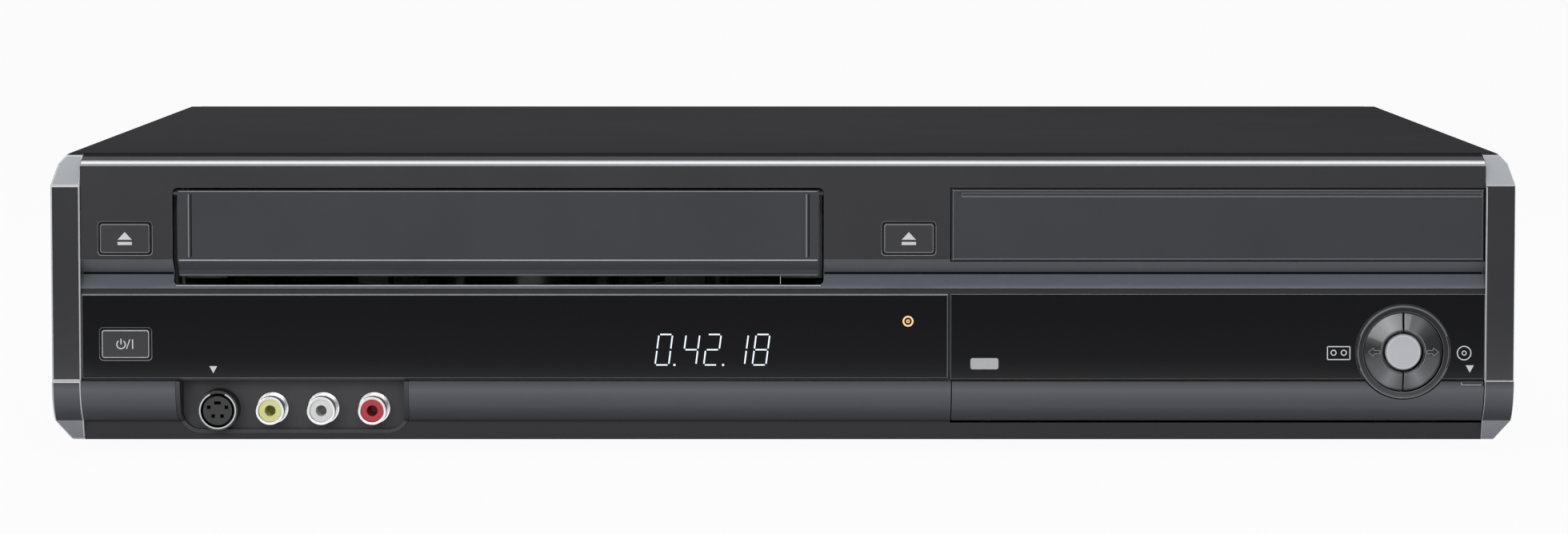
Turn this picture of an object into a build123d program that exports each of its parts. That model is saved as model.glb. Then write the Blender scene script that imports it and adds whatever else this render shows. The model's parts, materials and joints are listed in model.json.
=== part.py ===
from build123d import *
import os
from math import atan2, cos, degrees, hypot, pi, radians, sin

# A full-width disc and cassette player. Millimetres; +Z up, the front faces -Y, and the
# origin lies on the surface that the rubber feet stand on, under the middle of the case.

# ---- Overall sizes ----
WIDTH = 430.0  # across the two end caps
DEPTH = 350.0  # lower front strip to the tips of the aerial sockets
HEIGHT = 88.0  # standing surface to the top of the cover
FOOT_HEIGHT = 3.3
SHEET = 1.0  # folded steel of cover, chassis and rear panel
WALL = 2.2  # moulded front parts
SEAT = 0.1  # gap round a piece that is fixed in its hole
RUN = 0.3  # gap round a piece that moves
PIN_FIT = 0.05  # radial gap of a pin in its bore

# ---- Heights on the front, from the plinth up ----
PLINTH_HEIGHT = 5.8
STRIP_HEIGHT = 12.2
WINDOW_HEIGHT = 25.1
BAND_HEIGHT = 4.6
GROOVE_HEIGHT = 4.0
EDGE_DROP = 3.4  # cover top down to the start of the rounded fascia edge

# ---- Depths on the front, measured back from the strip ----
CAP_BACK = 1.0
WINDOW_BACK = 1.5
FACE_BACK = 2.0
GROOVE_BACK = 6.8
STRIP_FOOT_BACK = 6.5
STRIP_BULGE = 1.6  # how far the rolled strip has drawn back at its middle
PLINTH_BACK = 8.5
COVER_BACK = 12.0
FLANGE_BACK = 25.0

# ---- Widths on the front ----
CAP_WIDTH = 8.6
CASSETTE_LEFT = 35.7  # left side to the cassette opening
KEY_CENTRE = 21.7  # left side to the middle of the eject and power keys
TRAY_FRONT_WIDTH = 157.2
TRAY_FRONT_HEIGHT = 21.2
DIAL_IN = 32.6  # right side to the middle of the dial
DIAL_UP = 8.6  # strip top to the middle of the dial
DIAL_RADIUS = 13.8

# ---- Keys and their board ----
EJECT_WIDTH = 14.8
EJECT_HEIGHT = 8.8
POWER_WIDTH = 14.2
POWER_HEIGHT = 8.5
KEY_CORNER = 0.9
KEY_FLANGE = 1.0  # how far a key's flange reaches behind the rim of its hole
KEY_TRAVEL = 0.6
SWITCH_SIDE = 6.0
SWITCH_TALL = 3.5
PLUNGER = 0.7
BOARD = 1.6
WINDOW_THICK = 2.0

# ---- Media ----
CASSETTE_WIDTH = 187.0
CASSETTE_HEIGHT = 25.0
DISC_DIAMETER = 120.0
REEL_SPACING = 71.5
DRUM_DIAMETER = 62.0
DRUM_TILT = 5.97

# ---- Levels and planes that follow ----
x_left = -WIDTH / 2
x_right = WIDTH / 2
y_front = -DEPTH / 2
y_rear = DEPTH / 2
strip_bottom = FOOT_HEIGHT + PLINTH_HEIGHT
strip_top = strip_bottom + STRIP_HEIGHT
strip_mid = strip_bottom + 0.44 * STRIP_HEIGHT
window_bottom = strip_top + 0.5
window_top = window_bottom + WINDOW_HEIGHT
band_bottom = window_top + 1.6
groove_z = band_bottom + BAND_HEIGHT
face_bottom = groove_z + GROOVE_HEIGHT
face_top = HEIGHT - EDGE_DROP
inner_left = x_left + CAP_WIDTH
inner_right = x_right - CAP_WIDTH
cap_y = y_front + CAP_BACK
window_y = y_front + WINDOW_BACK
face_y = y_front + FACE_BACK
groove_y = y_front + GROOVE_BACK
cover_y = y_front + COVER_BACK
flange_y = y_front + FLANGE_BACK
backing_y = window_y + WINDOW_THICK  # front of the wall behind the windows
board_y = y_front + 18.0  # front of the switch board
stem_y = board_y - SWITCH_TALL - PLUNGER - KEY_TRAVEL - RUN  # back of every key's stem
rear_y = y_rear - 11.6  # inner face of the rear panel
floor_z = FOOT_HEIGHT + SHEET  # top of the chassis floor
main_z = strip_bottom + 1.8  # underside of the main board
cover_in = x_right - 4.0  # inner faces of the cover's sides
roof_z = HEIGHT - SHEET

os.makedirs("parts", exist_ok=True)


def keep(builder, name):
    """Label a finished piece and write it to its own file."""
    builder.part.label = name
    export_step(builder.part, f"parts/{name}.step")


def front_plane(y):
    """Upright plane at depth y whose normal faces the viewer in front."""
    return Plane.XZ.offset(-y)


def block(x0, x1, y0, y1, z0, z1, mode=Mode.ADD):
    """Box between two opposite corners, in the part being built."""
    with Locations(((x0 + x1) / 2, (y0 + y1) / 2, (z0 + z1) / 2)):
        Box(x1 - x0, y1 - y0, z1 - z0, mode=mode)


def post(x, y, radius, z0, z1, mode=Mode.ADD):
    """Upright round post, in the part being built."""
    with Locations((x, y, (z0 + z1) / 2)):
        Cylinder(radius, z1 - z0, mode=mode)


def bore(x, z, radius, y0, y1, mode=Mode.SUBTRACT):
    """Round hole, or rod with Mode.ADD, that runs front to back."""
    with Locations((x, (y0 + y1) / 2, z)):
        Cylinder(radius, y1 - y0, rotation=(90, 0, 0), mode=mode)


def cross_pin(x0, x1, y, z, radius, mode=Mode.ADD):
    """Round pin, or bore with Mode.SUBTRACT, that runs left to right."""
    with Locations(((x0 + x1) / 2, y, z)):
        Cylinder(radius, x1 - x0, rotation=(0, 90, 0), mode=mode)


# ==== Front moulding ====

slot_x0 = x_left + CASSETTE_LEFT
slot_x1 = slot_x0 + CASSETTE_WIDTH + 4.3
slot_z0 = band_bottom + 1.0
slot_z1 = slot_z0 + CASSETTE_HEIGHT + 3.7
cassette_x = (slot_x0 + slot_x1) / 2
flap_axis_y = face_y + 1.2
flap_axis_z = slot_z1 - 1.6
FLAP_PIN = 0.8

tray_x1 = inner_right
tray_x0 = tray_x1 - TRAY_FRONT_WIDTH
tray_x = (tray_x0 + tray_x1) / 2
tray_z0 = face_bottom - 0.7
tray_z1 = tray_z0 + TRAY_FRONT_HEIGHT + 2 * RUN

key_x = x_left + KEY_CENTRE
eject_z = face_bottom + 6.2
tray_key_x = tray_x0 - 12.2
power_z = window_bottom + 10.4

dial_x = x_right - DIAL_IN
dial_z = strip_top + DIAL_UP
display_x = -20.3
display_z = window_bottom + 8.7
DISPLAY_WIDTH = 84.0
DISPLAY_HEIGHT = 18.0

jack_x0 = x_left + 36.4
JACK_WIDTH = 68.4
jack_x1 = jack_x0 + JACK_WIDTH
jack_z0 = FOOT_HEIGHT + 1.8
jack_wall_y = y_front + 11.0
JACK_CORNER = 6.5

control_x0 = tray_x0 + 0.5
control_x1 = inner_right - 0.3
hinge_y = y_front + 7.5
hinge_z = strip_bottom + 1.5
HINGE_BARREL = 1.5
HINGE_PIN = 0.9


def strip_curve():
    """The rolled front of the lower strip, from its top edge to its foot."""
    ThreePointArc(
        (y_front, strip_top),
        (y_front + STRIP_BULGE, strip_mid),
        (y_front + STRIP_FOOT_BACK, strip_bottom),
    )


with BuildPart() as front_bezel:
    # one wall follows the whole front line, from the cover joint to the foot of the plinth
    with BuildSketch(Plane.YZ.offset(inner_left)):
        with BuildLine():
            Polyline(
                (cover_y, HEIGHT - 0.7),
                (face_y + 2.4, HEIGHT - 1.8),
                (face_y, face_top),
                (face_y, face_bottom),
                (groove_y, groove_z),
                (face_y, band_bottom),
                (backing_y, band_bottom - 0.3),
                (backing_y, strip_top),
                (y_front, strip_top),
            )
            strip_curve()
            Polyline(
                (y_front + STRIP_FOOT_BACK, strip_bottom),
                (y_front + PLINTH_BACK, strip_bottom),
                (y_front + PLINTH_BACK, FOOT_HEIGHT),
                (y_front + PLINTH_BACK + WALL, FOOT_HEIGHT),
                (y_front + PLINTH_BACK + WALL, strip_bottom + WALL),
                (y_front + STRIP_FOOT_BACK + 0.6, strip_bottom + WALL),
            )
            ThreePointArc(
                (y_front + STRIP_FOOT_BACK + 0.6, strip_bottom + WALL),
                (y_front + STRIP_BULGE + WALL, strip_mid + 0.1 * STRIP_HEIGHT),
                (y_front + WALL, strip_top - WALL),
            )
            Polyline(
                (y_front + WALL, strip_top - WALL),
                (backing_y + WALL, strip_top - WALL),
                (backing_y + WALL, band_bottom),
                (groove_y + WALL, groove_z),
                (face_y + WALL, face_bottom + 0.3),
                (face_y + WALL, face_top - 1.2),
                (face_y + 4.0, HEIGHT - 4.0),
                (cover_y, HEIGHT - 0.7 - WALL),
                (cover_y, HEIGHT - 0.7),
            )
        make_face()
    extrude(amount=inner_right - inner_left)
    # flanges that slip under the cover and over the chassis floor
    block(inner_left, inner_right, cover_y - 3.0, flange_y, roof_z - 0.1 - WALL, roof_z - 0.1)
    block(inner_left, inner_right, y_front + PLINTH_BACK + 1.0, flange_y, floor_z + 0.1, floor_z + WALL)
    # ears for the pins of the cassette flap
    for ear_x0, ear_x1 in ((slot_x0 - 3.2, slot_x0), (slot_x1, slot_x1 + 3.2)):
        block(ear_x0, ear_x1, face_y + 1.0, face_y + 5.0, flap_axis_z - 3.0, flap_axis_z + 2.4)
    # cassette opening with rounded lower corners
    with BuildSketch(front_plane(flange_y)):
        with Locations(((slot_x0 + slot_x1) / 2, (slot_z0 + slot_z1) / 2)):
            RectangleRounded(slot_x1 - slot_x0, slot_z1 - slot_z0, 1.5)
    extrude(amount=FLANGE_BACK + 5.0, mode=Mode.SUBTRACT)
    for pin_x0, pin_x1 in ((slot_x0 - 2.6, slot_x0 + 0.1), (slot_x1 - 0.1, slot_x1 + 2.6)):
        cross_pin(pin_x0, pin_x1, flap_axis_y, flap_axis_z, FLAP_PIN + PIN_FIT, Mode.SUBTRACT)
    # tray opening, the drop-down flap's bay and the recess of the front sockets
    block(tray_x0, tray_x1 + 1.0, y_front, flange_y - 5.0, tray_z0, tray_z1, Mode.SUBTRACT)
    # the plinth is lower under the flap, whose foot swings past it
    block(
        tray_x0 + 0.2, tray_x1 + 1.0, y_front - 1.0, y_front + 14.0,
        strip_bottom - 0.9, strip_top, Mode.SUBTRACT,
    )
    with BuildSketch(front_plane(flange_y - 5.0)):
        with Locations(((jack_x0 + jack_x1) / 2, (jack_z0 + strip_top) / 2 + JACK_CORNER)):
            RectangleRounded(
                JACK_WIDTH + 2 * SEAT,
                strip_top - jack_z0 + 2 * SEAT + 2 * JACK_CORNER,
                JACK_CORNER,
            )
        with Locations(((jack_x0 + jack_x1) / 2, strip_top + 20.0)):
            Rectangle(JACK_WIDTH + 10.0, 40.0, mode=Mode.SUBTRACT)
    extrude(amount=FLANGE_BACK, mode=Mode.SUBTRACT)
    # web that carries the left pin of the drop-down flap
    web_x1 = tray_x0 + 0.2
    with BuildSketch(Plane.YZ.offset(web_x1 - 3.0)):
        with BuildLine():
            ThreePointArc(
                (y_front + 0.5, strip_top - 0.5),
                (y_front + STRIP_BULGE + 0.5, strip_mid),
                (y_front + STRIP_FOOT_BACK + 0.5, strip_bottom),
            )
            Polyline(
                (y_front + STRIP_FOOT_BACK + 0.5, strip_bottom),
                (y_front + 10.0, strip_bottom),
                (y_front + 10.0, strip_top - 0.5),
                (y_front + 0.5, strip_top - 0.5),
            )
        make_face()
    extrude(amount=3.0)
    cross_pin(web_x1 - 2.6, web_x1 + 0.1, hinge_y, hinge_z, HINGE_PIN + PIN_FIT, Mode.SUBTRACT)
    # key holes, display opening and dial hole
    with BuildSketch(front_plane(flange_y - 10.0)):
        with Locations((key_x, eject_z), (tray_key_x, eject_z)):
            RectangleRounded(EJECT_WIDTH + 2 * RUN, EJECT_HEIGHT + 2 * RUN, KEY_CORNER + RUN)
        with Locations((key_x, power_z)):
            RectangleRounded(POWER_WIDTH + 2 * RUN, POWER_HEIGHT + 2 * RUN, KEY_CORNER + RUN)
        with Locations((display_x, display_z)):
            Rectangle(DISPLAY_WIDTH - 12.0, DISPLAY_HEIGHT - 1.0)
        with Locations((dial_x, dial_z)):
            Circle(DIAL_RADIUS + SEAT)
    extrude(amount=16.0, mode=Mode.SUBTRACT)
    # ribs that hold the switch board
    rib_z = window_top - 6.0
    for rib_x in (x_left + 60.0, x_left + 125.0, tray_key_x + 3.0, x_right - 85.0):
        block(rib_x - 1.5, rib_x + 1.5, backing_y + 1.0, board_y, rib_z - 4.0, rib_z + 4.0)
keep(front_bezel, "front_bezel")


def end_cap(side):
    """Hollow end moulding with sloped corners; side is -1 at the left, 1 at the right."""
    outer = side * WIDTH / 2
    inner = side * (WIDTH / 2 - CAP_WIDTH)
    low = min(inner, outer)
    with BuildPart() as cap:
        with BuildSketch(Plane.YZ.offset(low)):
            with BuildLine():
                Polyline(
                    (cover_y - 0.1, HEIGHT - 0.4),
                    (y_front + 9.0, HEIGHT - 0.6),
                    (cap_y, HEIGHT - 9.1),
                    (cap_y, strip_top),
                    (y_front, strip_top),
                )
                strip_curve()
                Polyline(
                    (y_front + STRIP_FOOT_BACK, strip_bottom),
                    (y_front + PLINTH_BACK, FOOT_HEIGHT),
                    (cover_y - 0.1, FOOT_HEIGHT),
                    (cover_y - 0.1, HEIGHT - 0.4),
                )
            make_face()
        extrude(amount=CAP_WIDTH)
        # the outline seen from the front leans in at the top and bottom corners
        with BuildSketch(front_plane(cover_y)):
            with BuildLine():
                Polyline(
                    (inner, FOOT_HEIGHT),
                    (outer - side * 4.9, FOOT_HEIGHT),
                    (outer, strip_bottom),
                    (outer, HEIGHT - 9.1),
                    (outer - side * 1.6, HEIGHT - 3.0),
                    (outer - side * 3.9, HEIGHT - 0.4),
                    (inner, HEIGHT - 0.4),
                    (inner, FOOT_HEIGHT),
                )
            make_face()
        extrude(amount=COVER_BACK + 5.0, mode=Mode.INTERSECT)
        # hollow, open to the back
        hollow = (inner + side * WALL, outer - side * 2.5)
        with BuildSketch(Plane.YZ.offset(min(hollow))):
            with BuildLine():
                Polyline(
                    (cover_y + 0.1, HEIGHT - 4.0),
                    (y_front + 10.0, HEIGHT - 4.0),
                    (cap_y + 2.6, HEIGHT - 11.0),
                    (cap_y + 2.6, strip_top - 3.0),
                    (y_front + 8.6, strip_bottom + 1.0),
                    (cover_y + 0.1, strip_bottom + 1.0),
                    (cover_y + 0.1, HEIGHT - 4.0),
                )
            make_face()
        extrude(amount=abs(hollow[1] - hollow[0]), mode=Mode.SUBTRACT)
        # tongue beside the bezel, under the cover
        tongue = sorted((inner, inner + side * WALL))
        block(tongue[0], tongue[1], cover_y - 0.2, flange_y, floor_z + 3.0, roof_z - 3.0)
        if side > 0:
            cross_pin(
                inner - 0.1, inner + WALL - 0.1, hinge_y, hinge_z,
                HINGE_PIN + PIN_FIT, Mode.SUBTRACT,
            )
    return cap


keep(end_cap(-1), "left_end_cap")
keep(end_cap(1), "right_end_cap")

with BuildPart() as display_window:
    with BuildSketch(front_plane(backing_y)):
        with BuildLine():
            Polyline(
                (inner_left, window_bottom),
                (tray_x0 - 0.5, window_bottom),
                (tray_x0 - 0.5, window_top),
                (inner_left, window_top),
                (inner_left, window_bottom),
            )
        make_face()
        with Locations((key_x, power_z)):
            RectangleRounded(
                POWER_WIDTH + 2 * RUN, POWER_HEIGHT + 2 * RUN, KEY_CORNER + RUN, mode=Mode.SUBTRACT
            )
    extrude(amount=WINDOW_THICK)
    chamfer(display_window.faces().sort_by(Axis.Y)[0].outer_wire().edges(), 0.3)
keep(display_window, "display_window")

with BuildPart() as dial_window:
    with BuildSketch(front_plane(backing_y)):
        with BuildLine():
            Polyline(
                (tray_x0 + 0.1, window_bottom),
                (inner_right, window_bottom),
                (inner_right, window_top),
                (tray_x0 + 0.1, window_top),
                (tray_x0 + 0.1, window_bottom),
            )
        make_face()
        with Locations((dial_x, dial_z)):
            Circle(DIAL_RADIUS + SEAT, mode=Mode.SUBTRACT)
    extrude(amount=WINDOW_THICK)
keep(dial_window, "dial_window")


def front_key(width, height, x, z, face, flange_front):
    """Square key: rounded cap, retaining flange behind its hole, stem to its switch."""
    with BuildPart() as key:
        with BuildSketch(front_plane(flange_front)):
            with Locations((x, z)):
                RectangleRounded(width, height, KEY_CORNER)
        extrude(amount=flange_front - face)
        chamfer(key.faces().sort_by(Axis.Y)[0].edges(), 0.3)
        block(x - width / 2 - KEY_FLANGE, x + width / 2 + KEY_FLANGE, flange_front, flange_front + 0.8,
              z - height / 2 - KEY_FLANGE, z + height / 2 + KEY_FLANGE)
        block(x - 2.0, x + 2.0, flange_front, stem_y, z - 2.0, z + 2.0)
    return key


face_flange_y = face_y + WALL + RUN
keep(front_key(EJECT_WIDTH, EJECT_HEIGHT, key_x, eject_z, face_y - 0.7, face_flange_y), "eject_button")
keep(front_key(EJECT_WIDTH, EJECT_HEIGHT, tray_key_x, eject_z, face_y - 0.7, face_flange_y), "tray_button")
keep(
    front_key(POWER_WIDTH, POWER_HEIGHT, key_x, power_z, window_y - 0.6, backing_y + WALL + RUN),
    "power_button",
)

# ==== Dial and its three keys ====

DIAL_RING = 2.0
CENTRE_RADIUS = 5.3
STEM_RADIUS = 1.5
ring_outer = DIAL_RADIUS - DIAL_RING - RUN
ring_inner = CENTRE_RADIUS + 0.7
stem_out = (ring_inner + ring_outer) / 2
half_split = 0.25
dial_floor_y = y_front + 8.0
dial_back_y = dial_floor_y + 1.2
pressed_y = dial_floor_y - KEY_TRAVEL - RUN  # back of the dial's keys

with BuildPart() as dial_surround:
    with BuildSketch(front_plane(dial_back_y)):
        with Locations((dial_x, dial_z)):
            Circle(DIAL_RADIUS)
    extrude(amount=dial_back_y - y_front)
    chamfer(dial_surround.faces().sort_by(Axis.Y)[0].edges(), 0.5)
    bore(dial_x, dial_z, DIAL_RADIUS - DIAL_RING, y_front - 1.0, dial_floor_y)
    for stem_x in (-stem_out, 0.0, stem_out):
        bore(dial_x + stem_x, dial_z, STEM_RADIUS + RUN, dial_floor_y - 1.0, dial_floor_y + 2.0)
keep(dial_surround, "dial_surround")


def half_ring(side):
    """One half of the conical ring key; side is -1 at the left, 1 at the right."""
    with BuildPart() as ring:
        with BuildSketch(Plane.YZ.offset(dial_x)):
            with BuildLine():
                Polyline(
                    (y_front + 0.1, dial_z + ring_inner + 0.6),
                    (y_front + 1.3, dial_z + ring_outer),
                    (pressed_y, dial_z + ring_outer),
                    (pressed_y, dial_z + ring_inner),
                    (y_front + 0.6, dial_z + ring_inner),
                    (y_front + 0.1, dial_z + ring_inner + 0.6),
                )
            make_face()
        revolve(axis=Axis((dial_x, 0, dial_z), (0, 1, 0)))
        half = sorted((dial_x + side * half_split, dial_x + side * (DIAL_RADIUS + 1.0)))
        block(half[0], half[1], y_front - 1.0, dial_floor_y,
              dial_z - DIAL_RADIUS, dial_z + DIAL_RADIUS, Mode.INTERSECT)
        bore(dial_x + side * stem_out, dial_z, STEM_RADIUS, pressed_y - 1.0, stem_y, Mode.ADD)
    return ring


keep(half_ring(-1), "copy_left_button")
keep(half_ring(1), "copy_right_button")

with BuildPart() as copy_button:
    with BuildSketch(front_plane(pressed_y)):
        with Locations((dial_x, dial_z)):
            Circle(CENTRE_RADIUS)
    extrude(amount=pressed_y - y_front - 0.3)
    chamfer(copy_button.faces().sort_by(Axis.Y)[0].edges(), 0.4)
    bore(dial_x, dial_z, STEM_RADIUS, pressed_y - 1.0, stem_y, Mode.ADD)
keep(copy_button, "copy_button")

# ==== Drop-down flap and the pocket behind it ====

flap_top = strip_top - 0.1
with BuildPart() as control_flap:
    with BuildSketch(Plane.YZ.offset(control_x0)):
        with BuildLine():
            ThreePointArc(
                (y_front, flap_top),
                (y_front + STRIP_BULGE, strip_mid),
                (y_front + STRIP_FOOT_BACK - 0.4, strip_bottom + 0.1),
            )
            Polyline(
                (y_front + STRIP_FOOT_BACK - 0.4, strip_bottom + 0.1),
                (hinge_y + 0.3, strip_bottom + 0.1),
                (hinge_y + 0.3, hinge_z + 0.9),
                (y_front + STRIP_FOOT_BACK - 0.6, strip_bottom + 2.4),
            )
            ThreePointArc(
                (y_front + STRIP_FOOT_BACK - 0.6, strip_bottom + 2.4),
                (y_front + STRIP_BULGE + WALL, strip_mid + 0.14 * STRIP_HEIGHT),
                (y_front + WALL, flap_top),
            )
            Line((y_front + WALL, flap_top), (y_front, flap_top))
        make_face()
        with Locations((hinge_y, hinge_z)):
            Circle(HINGE_BARREL - 0.1)
    extrude(amount=control_x1 - control_x0)
    bore(dial_x, dial_z, DIAL_RADIUS + RUN, y_front - 5.0, y_front + 20.0)
    # finger notch at the right end of the top edge
    block(control_x1 - 6.6, control_x1 + 1.0, y_front - 1.0, y_front + 1.1, flap_top - 1.4, flap_top + 1.0,
          Mode.SUBTRACT)
    cross_pin(control_x0 - 2.0, control_x0 + 2.0, hinge_y, hinge_z, HINGE_PIN)
    cross_pin(control_x1 - 2.0, control_x1 + 2.0, hinge_y, hinge_z, HINGE_PIN)
keep(control_flap, "control_flap")

pocket_y = y_front + 10.5
USB_WIDTH = 13.1
USB_HEIGHT = 5.7
usb_x = tray_x0 + 10.1
usb_z = main_z + BOARD + USB_HEIGHT / 2
SMALL_KEY = 3.2
small_key_z = strip_bottom + 6.6
small_key_x = [tray_x0 + offset for offset in (34.0, 54.0, 74.0, 94.0)]

with BuildPart() as control_pocket:
    block(tray_x0 + 1.0, inner_right - 0.4, pocket_y, pocket_y + 1.5, strip_bottom - 0.2, strip_top - 0.4)
    block(tray_x0 + 1.0, inner_right - 0.4, backing_y + WALL + SEAT, pocket_y + 1.5,
          strip_top - 1.4, strip_top - 0.1)
    block(tray_x0 + 1.0, tray_x0 + 2.2, pocket_y, pocket_y + 6.0,
          main_z + BOARD + 0.2, strip_top - 0.1)
    block(inner_right - 1.6, inner_right - 0.4, pocket_y, pocket_y + 6.0,
          main_z + BOARD + 0.2, strip_top - 0.1)
    bore(dial_x, dial_z, DIAL_RADIUS + SEAT, y_front - 1.0, dial_floor_y + 1.3)
    block(usb_x - USB_WIDTH / 2 - SEAT, usb_x + USB_WIDTH / 2 + SEAT, pocket_y - 1.0, pocket_y + 3.0,
          usb_z - USB_HEIGHT / 2 - SEAT, usb_z + USB_HEIGHT / 2 + SEAT, Mode.SUBTRACT)
    for x in small_key_x:
        bore(x, small_key_z, SMALL_KEY + RUN, pocket_y - 1.0, pocket_y + 3.0)
    for stem_x in (-stem_out, 0.0, stem_out):
        bore(dial_x + stem_x, dial_z, STEM_RADIUS + 2 * RUN, pocket_y - 1.0, pocket_y + 3.0)
keep(control_pocket, "control_pocket")

usb_back = pocket_y + 14.0
with BuildPart() as usb_socket:
    block(usb_x - USB_WIDTH / 2, usb_x + USB_WIDTH / 2, pocket_y, usb_back,
          usb_z - USB_HEIGHT / 2, usb_z + USB_HEIGHT / 2)
    block(usb_x - USB_WIDTH / 2 + 0.3, usb_x + USB_WIDTH / 2 - 0.3, pocket_y - 1.0, usb_back - 3.0,
          usb_z - USB_HEIGHT / 2 + 0.3, usb_z + USB_HEIGHT / 2 - 0.3, Mode.SUBTRACT)
    block(usb_x - 5.6, usb_x + 5.6, pocket_y + 1.5, usb_back, usb_z + 0.5, usb_z + 2.3)
keep(usb_socket, "usb_socket")

for name, x in zip(("channel_button", "stop_button", "play_button", "record_button"), small_key_x):
    with BuildPart() as small_key:
        with BuildSketch(front_plane(pocket_y + 2.0)):
            with Locations((x, small_key_z)):
                Circle(SMALL_KEY)
        extrude(amount=4.2)
        chamfer(small_key.faces().sort_by(Axis.Y)[0].edges(), 0.4)
        bore(x, small_key_z, SMALL_KEY + 1.0, pocket_y + 1.5 + RUN, stem_y, Mode.ADD)
    keep(small_key, name)

# ==== Front sockets ====

RCA_OUTER = 4.15
RCA_BORE = 3.4
RCA_COLLAR = 4.7  # root of the shell, in the panel
RCA_PITCH = 15.05
RCA_REACH = 9.0
jack_row_z = jack_z0 + 7.2
s_video_x = jack_x0 + 12.0
rca_x = [jack_x0 + 27.5 + RCA_PITCH * step for step in range(3)]
S_VIDEO_RADIUS = 6.0

with BuildPart() as jack_panel:
    with BuildSketch(front_plane(jack_wall_y + 1.8)):
        with Locations(((jack_x0 + jack_x1) / 2, (jack_z0 + strip_top) / 2 + JACK_CORNER)):
            RectangleRounded(JACK_WIDTH, strip_top - jack_z0 + 2 * JACK_CORNER, JACK_CORNER)
        with Locations(((jack_x0 + jack_x1) / 2, strip_top + 20.0 - SEAT)):
            Rectangle(JACK_WIDTH + 10.0, 40.0, mode=Mode.SUBTRACT)
    extrude(amount=14.0)
    with BuildSketch(front_plane(jack_wall_y)):
        with Locations(((jack_x0 + jack_x1) / 2, (jack_z0 + strip_top) / 2 + JACK_CORNER)):
            RectangleRounded(JACK_WIDTH - 2.4, strip_top - jack_z0 + 2 * JACK_CORNER - 2.4, JACK_CORNER - 1.2)
    extrude(amount=20.0, mode=Mode.SUBTRACT)
    # the rim follows the rolled strip
    with BuildSketch(Plane.YZ.offset(jack_x0 - 1.0)):
        with BuildLine():
            strip_curve()
            Polyline(
                (y_front + STRIP_FOOT_BACK, strip_bottom),
                (y_front + PLINTH_BACK, strip_bottom),
                (y_front + PLINTH_BACK, FOOT_HEIGHT),
                (flange_y, FOOT_HEIGHT),
                (flange_y, strip_top),
                (y_front, strip_top),
            )
        make_face()
    extrude(amount=JACK_WIDTH + 2.0, mode=Mode.INTERSECT)
    for x in rca_x:
        bore(x, jack_row_z, RCA_COLLAR + PIN_FIT, jack_wall_y - 1.0, jack_wall_y + 3.0)
    bore(s_video_x, jack_row_z, S_VIDEO_RADIUS, jack_wall_y - 1.0, jack_wall_y + 3.0)
keep(jack_panel, "jack_panel")

with BuildPart() as jack_shells:
    with BuildSketch(front_plane(jack_wall_y + 4.0)):
        with Locations(*[(x, jack_row_z) for x in rca_x]):
            Circle(RCA_OUTER)
            Circle(RCA_BORE, mode=Mode.SUBTRACT)
    extrude(amount=RCA_REACH + 4.0)
    with BuildSketch(front_plane(jack_wall_y + 4.0)):
        with Locations(*[(x, jack_row_z) for x in rca_x]):
            Circle(RCA_COLLAR)
            Circle(RCA_BORE, mode=Mode.SUBTRACT)
    extrude(amount=4.0)
keep(jack_shells, "jack_shells")

for name, x in zip(("video_insulator", "audio_left_insulator", "audio_right_insulator"), rca_x):
    with BuildPart() as insulator:
        with BuildSketch(front_plane(jack_wall_y + 4.0)):
            with Locations((x, jack_row_z)):
                Circle(RCA_BORE - 0.05)
                Circle(1.6, mode=Mode.SUBTRACT)
        extrude(amount=RCA_REACH + 3.2)
        bore(x, jack_row_z, RCA_OUTER, jack_wall_y + 4.0, board_y, Mode.ADD)
    keep(insulator, name)

with BuildPart() as s_video_socket:
    with BuildSketch(front_plane(board_y)):
        with Locations((s_video_x, jack_row_z)):
            Circle(S_VIDEO_RADIUS - 0.05)
    extrude(amount=board_y - jack_wall_y + RCA_REACH - 1.0)
    # ring gap for the plug's shell, four contact holes and a key slot
    with BuildSketch(front_plane(jack_wall_y)):
        with Locations((s_video_x, jack_row_z)):
            Circle(5.1)
            Circle(4.3, mode=Mode.SUBTRACT)
    extrude(amount=RCA_REACH, mode=Mode.SUBTRACT)
    with BuildSketch(front_plane(jack_wall_y)):
        with Locations(*[(s_video_x + dx, jack_row_z + dz) for dx, dz in
                         ((-2.6, 1.0), (2.6, 1.0), (-1.3, -1.6), (1.3, -1.6))]):
            Rectangle(1.0, 1.0)
        with Locations((s_video_x, jack_row_z + 2.3)):
            Rectangle(1.9, 0.9)
    extrude(amount=RCA_REACH, mode=Mode.SUBTRACT)
keep(s_video_socket, "s_video_socket")

# ==== Case ====

LIP_HEIGHT = 11.0

with BuildPart() as top_cover:
    with BuildSketch(front_plane(y_rear - 10.4)):
        with BuildLine():
            Polyline(
                (-cover_in - SHEET, floor_z + 0.2),
                (-cover_in - SHEET, HEIGHT),
                (cover_in + SHEET, HEIGHT),
                (cover_in + SHEET, floor_z + 0.2),
                (cover_in, floor_z + 0.2),
                (cover_in, roof_z),
                (-cover_in, roof_z),
                (-cover_in, floor_z + 0.2),
                (-cover_in - SHEET, floor_z + 0.2),
            )
        make_face()
    extrude(amount=y_rear - 10.4 - cover_y)
    fillet(top_cover.edges().filter_by(Axis.Y).group_by(Axis.Z)[-1], 2.0)
    # folded lip that the rear screws go through
    lip_y = rear_y + SHEET + SEAT
    block(-cover_in + 4.0, cover_in - 4.0, lip_y, lip_y + SHEET, HEIGHT - LIP_HEIGHT, HEIGHT)
    # vent slots in both sides
    with BuildSketch(Plane.YZ.offset(-cover_in - 2.0)):
        with Locations((y_rear - 95.0, HEIGHT - 39.0)):
            with GridLocations(6.0, 1.0, 14, 1):
                Rectangle(2.4, 30.0)
    extrude(amount=2 * cover_in + 4.0, mode=Mode.SUBTRACT)
keep(top_cover, "top_cover")

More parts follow.
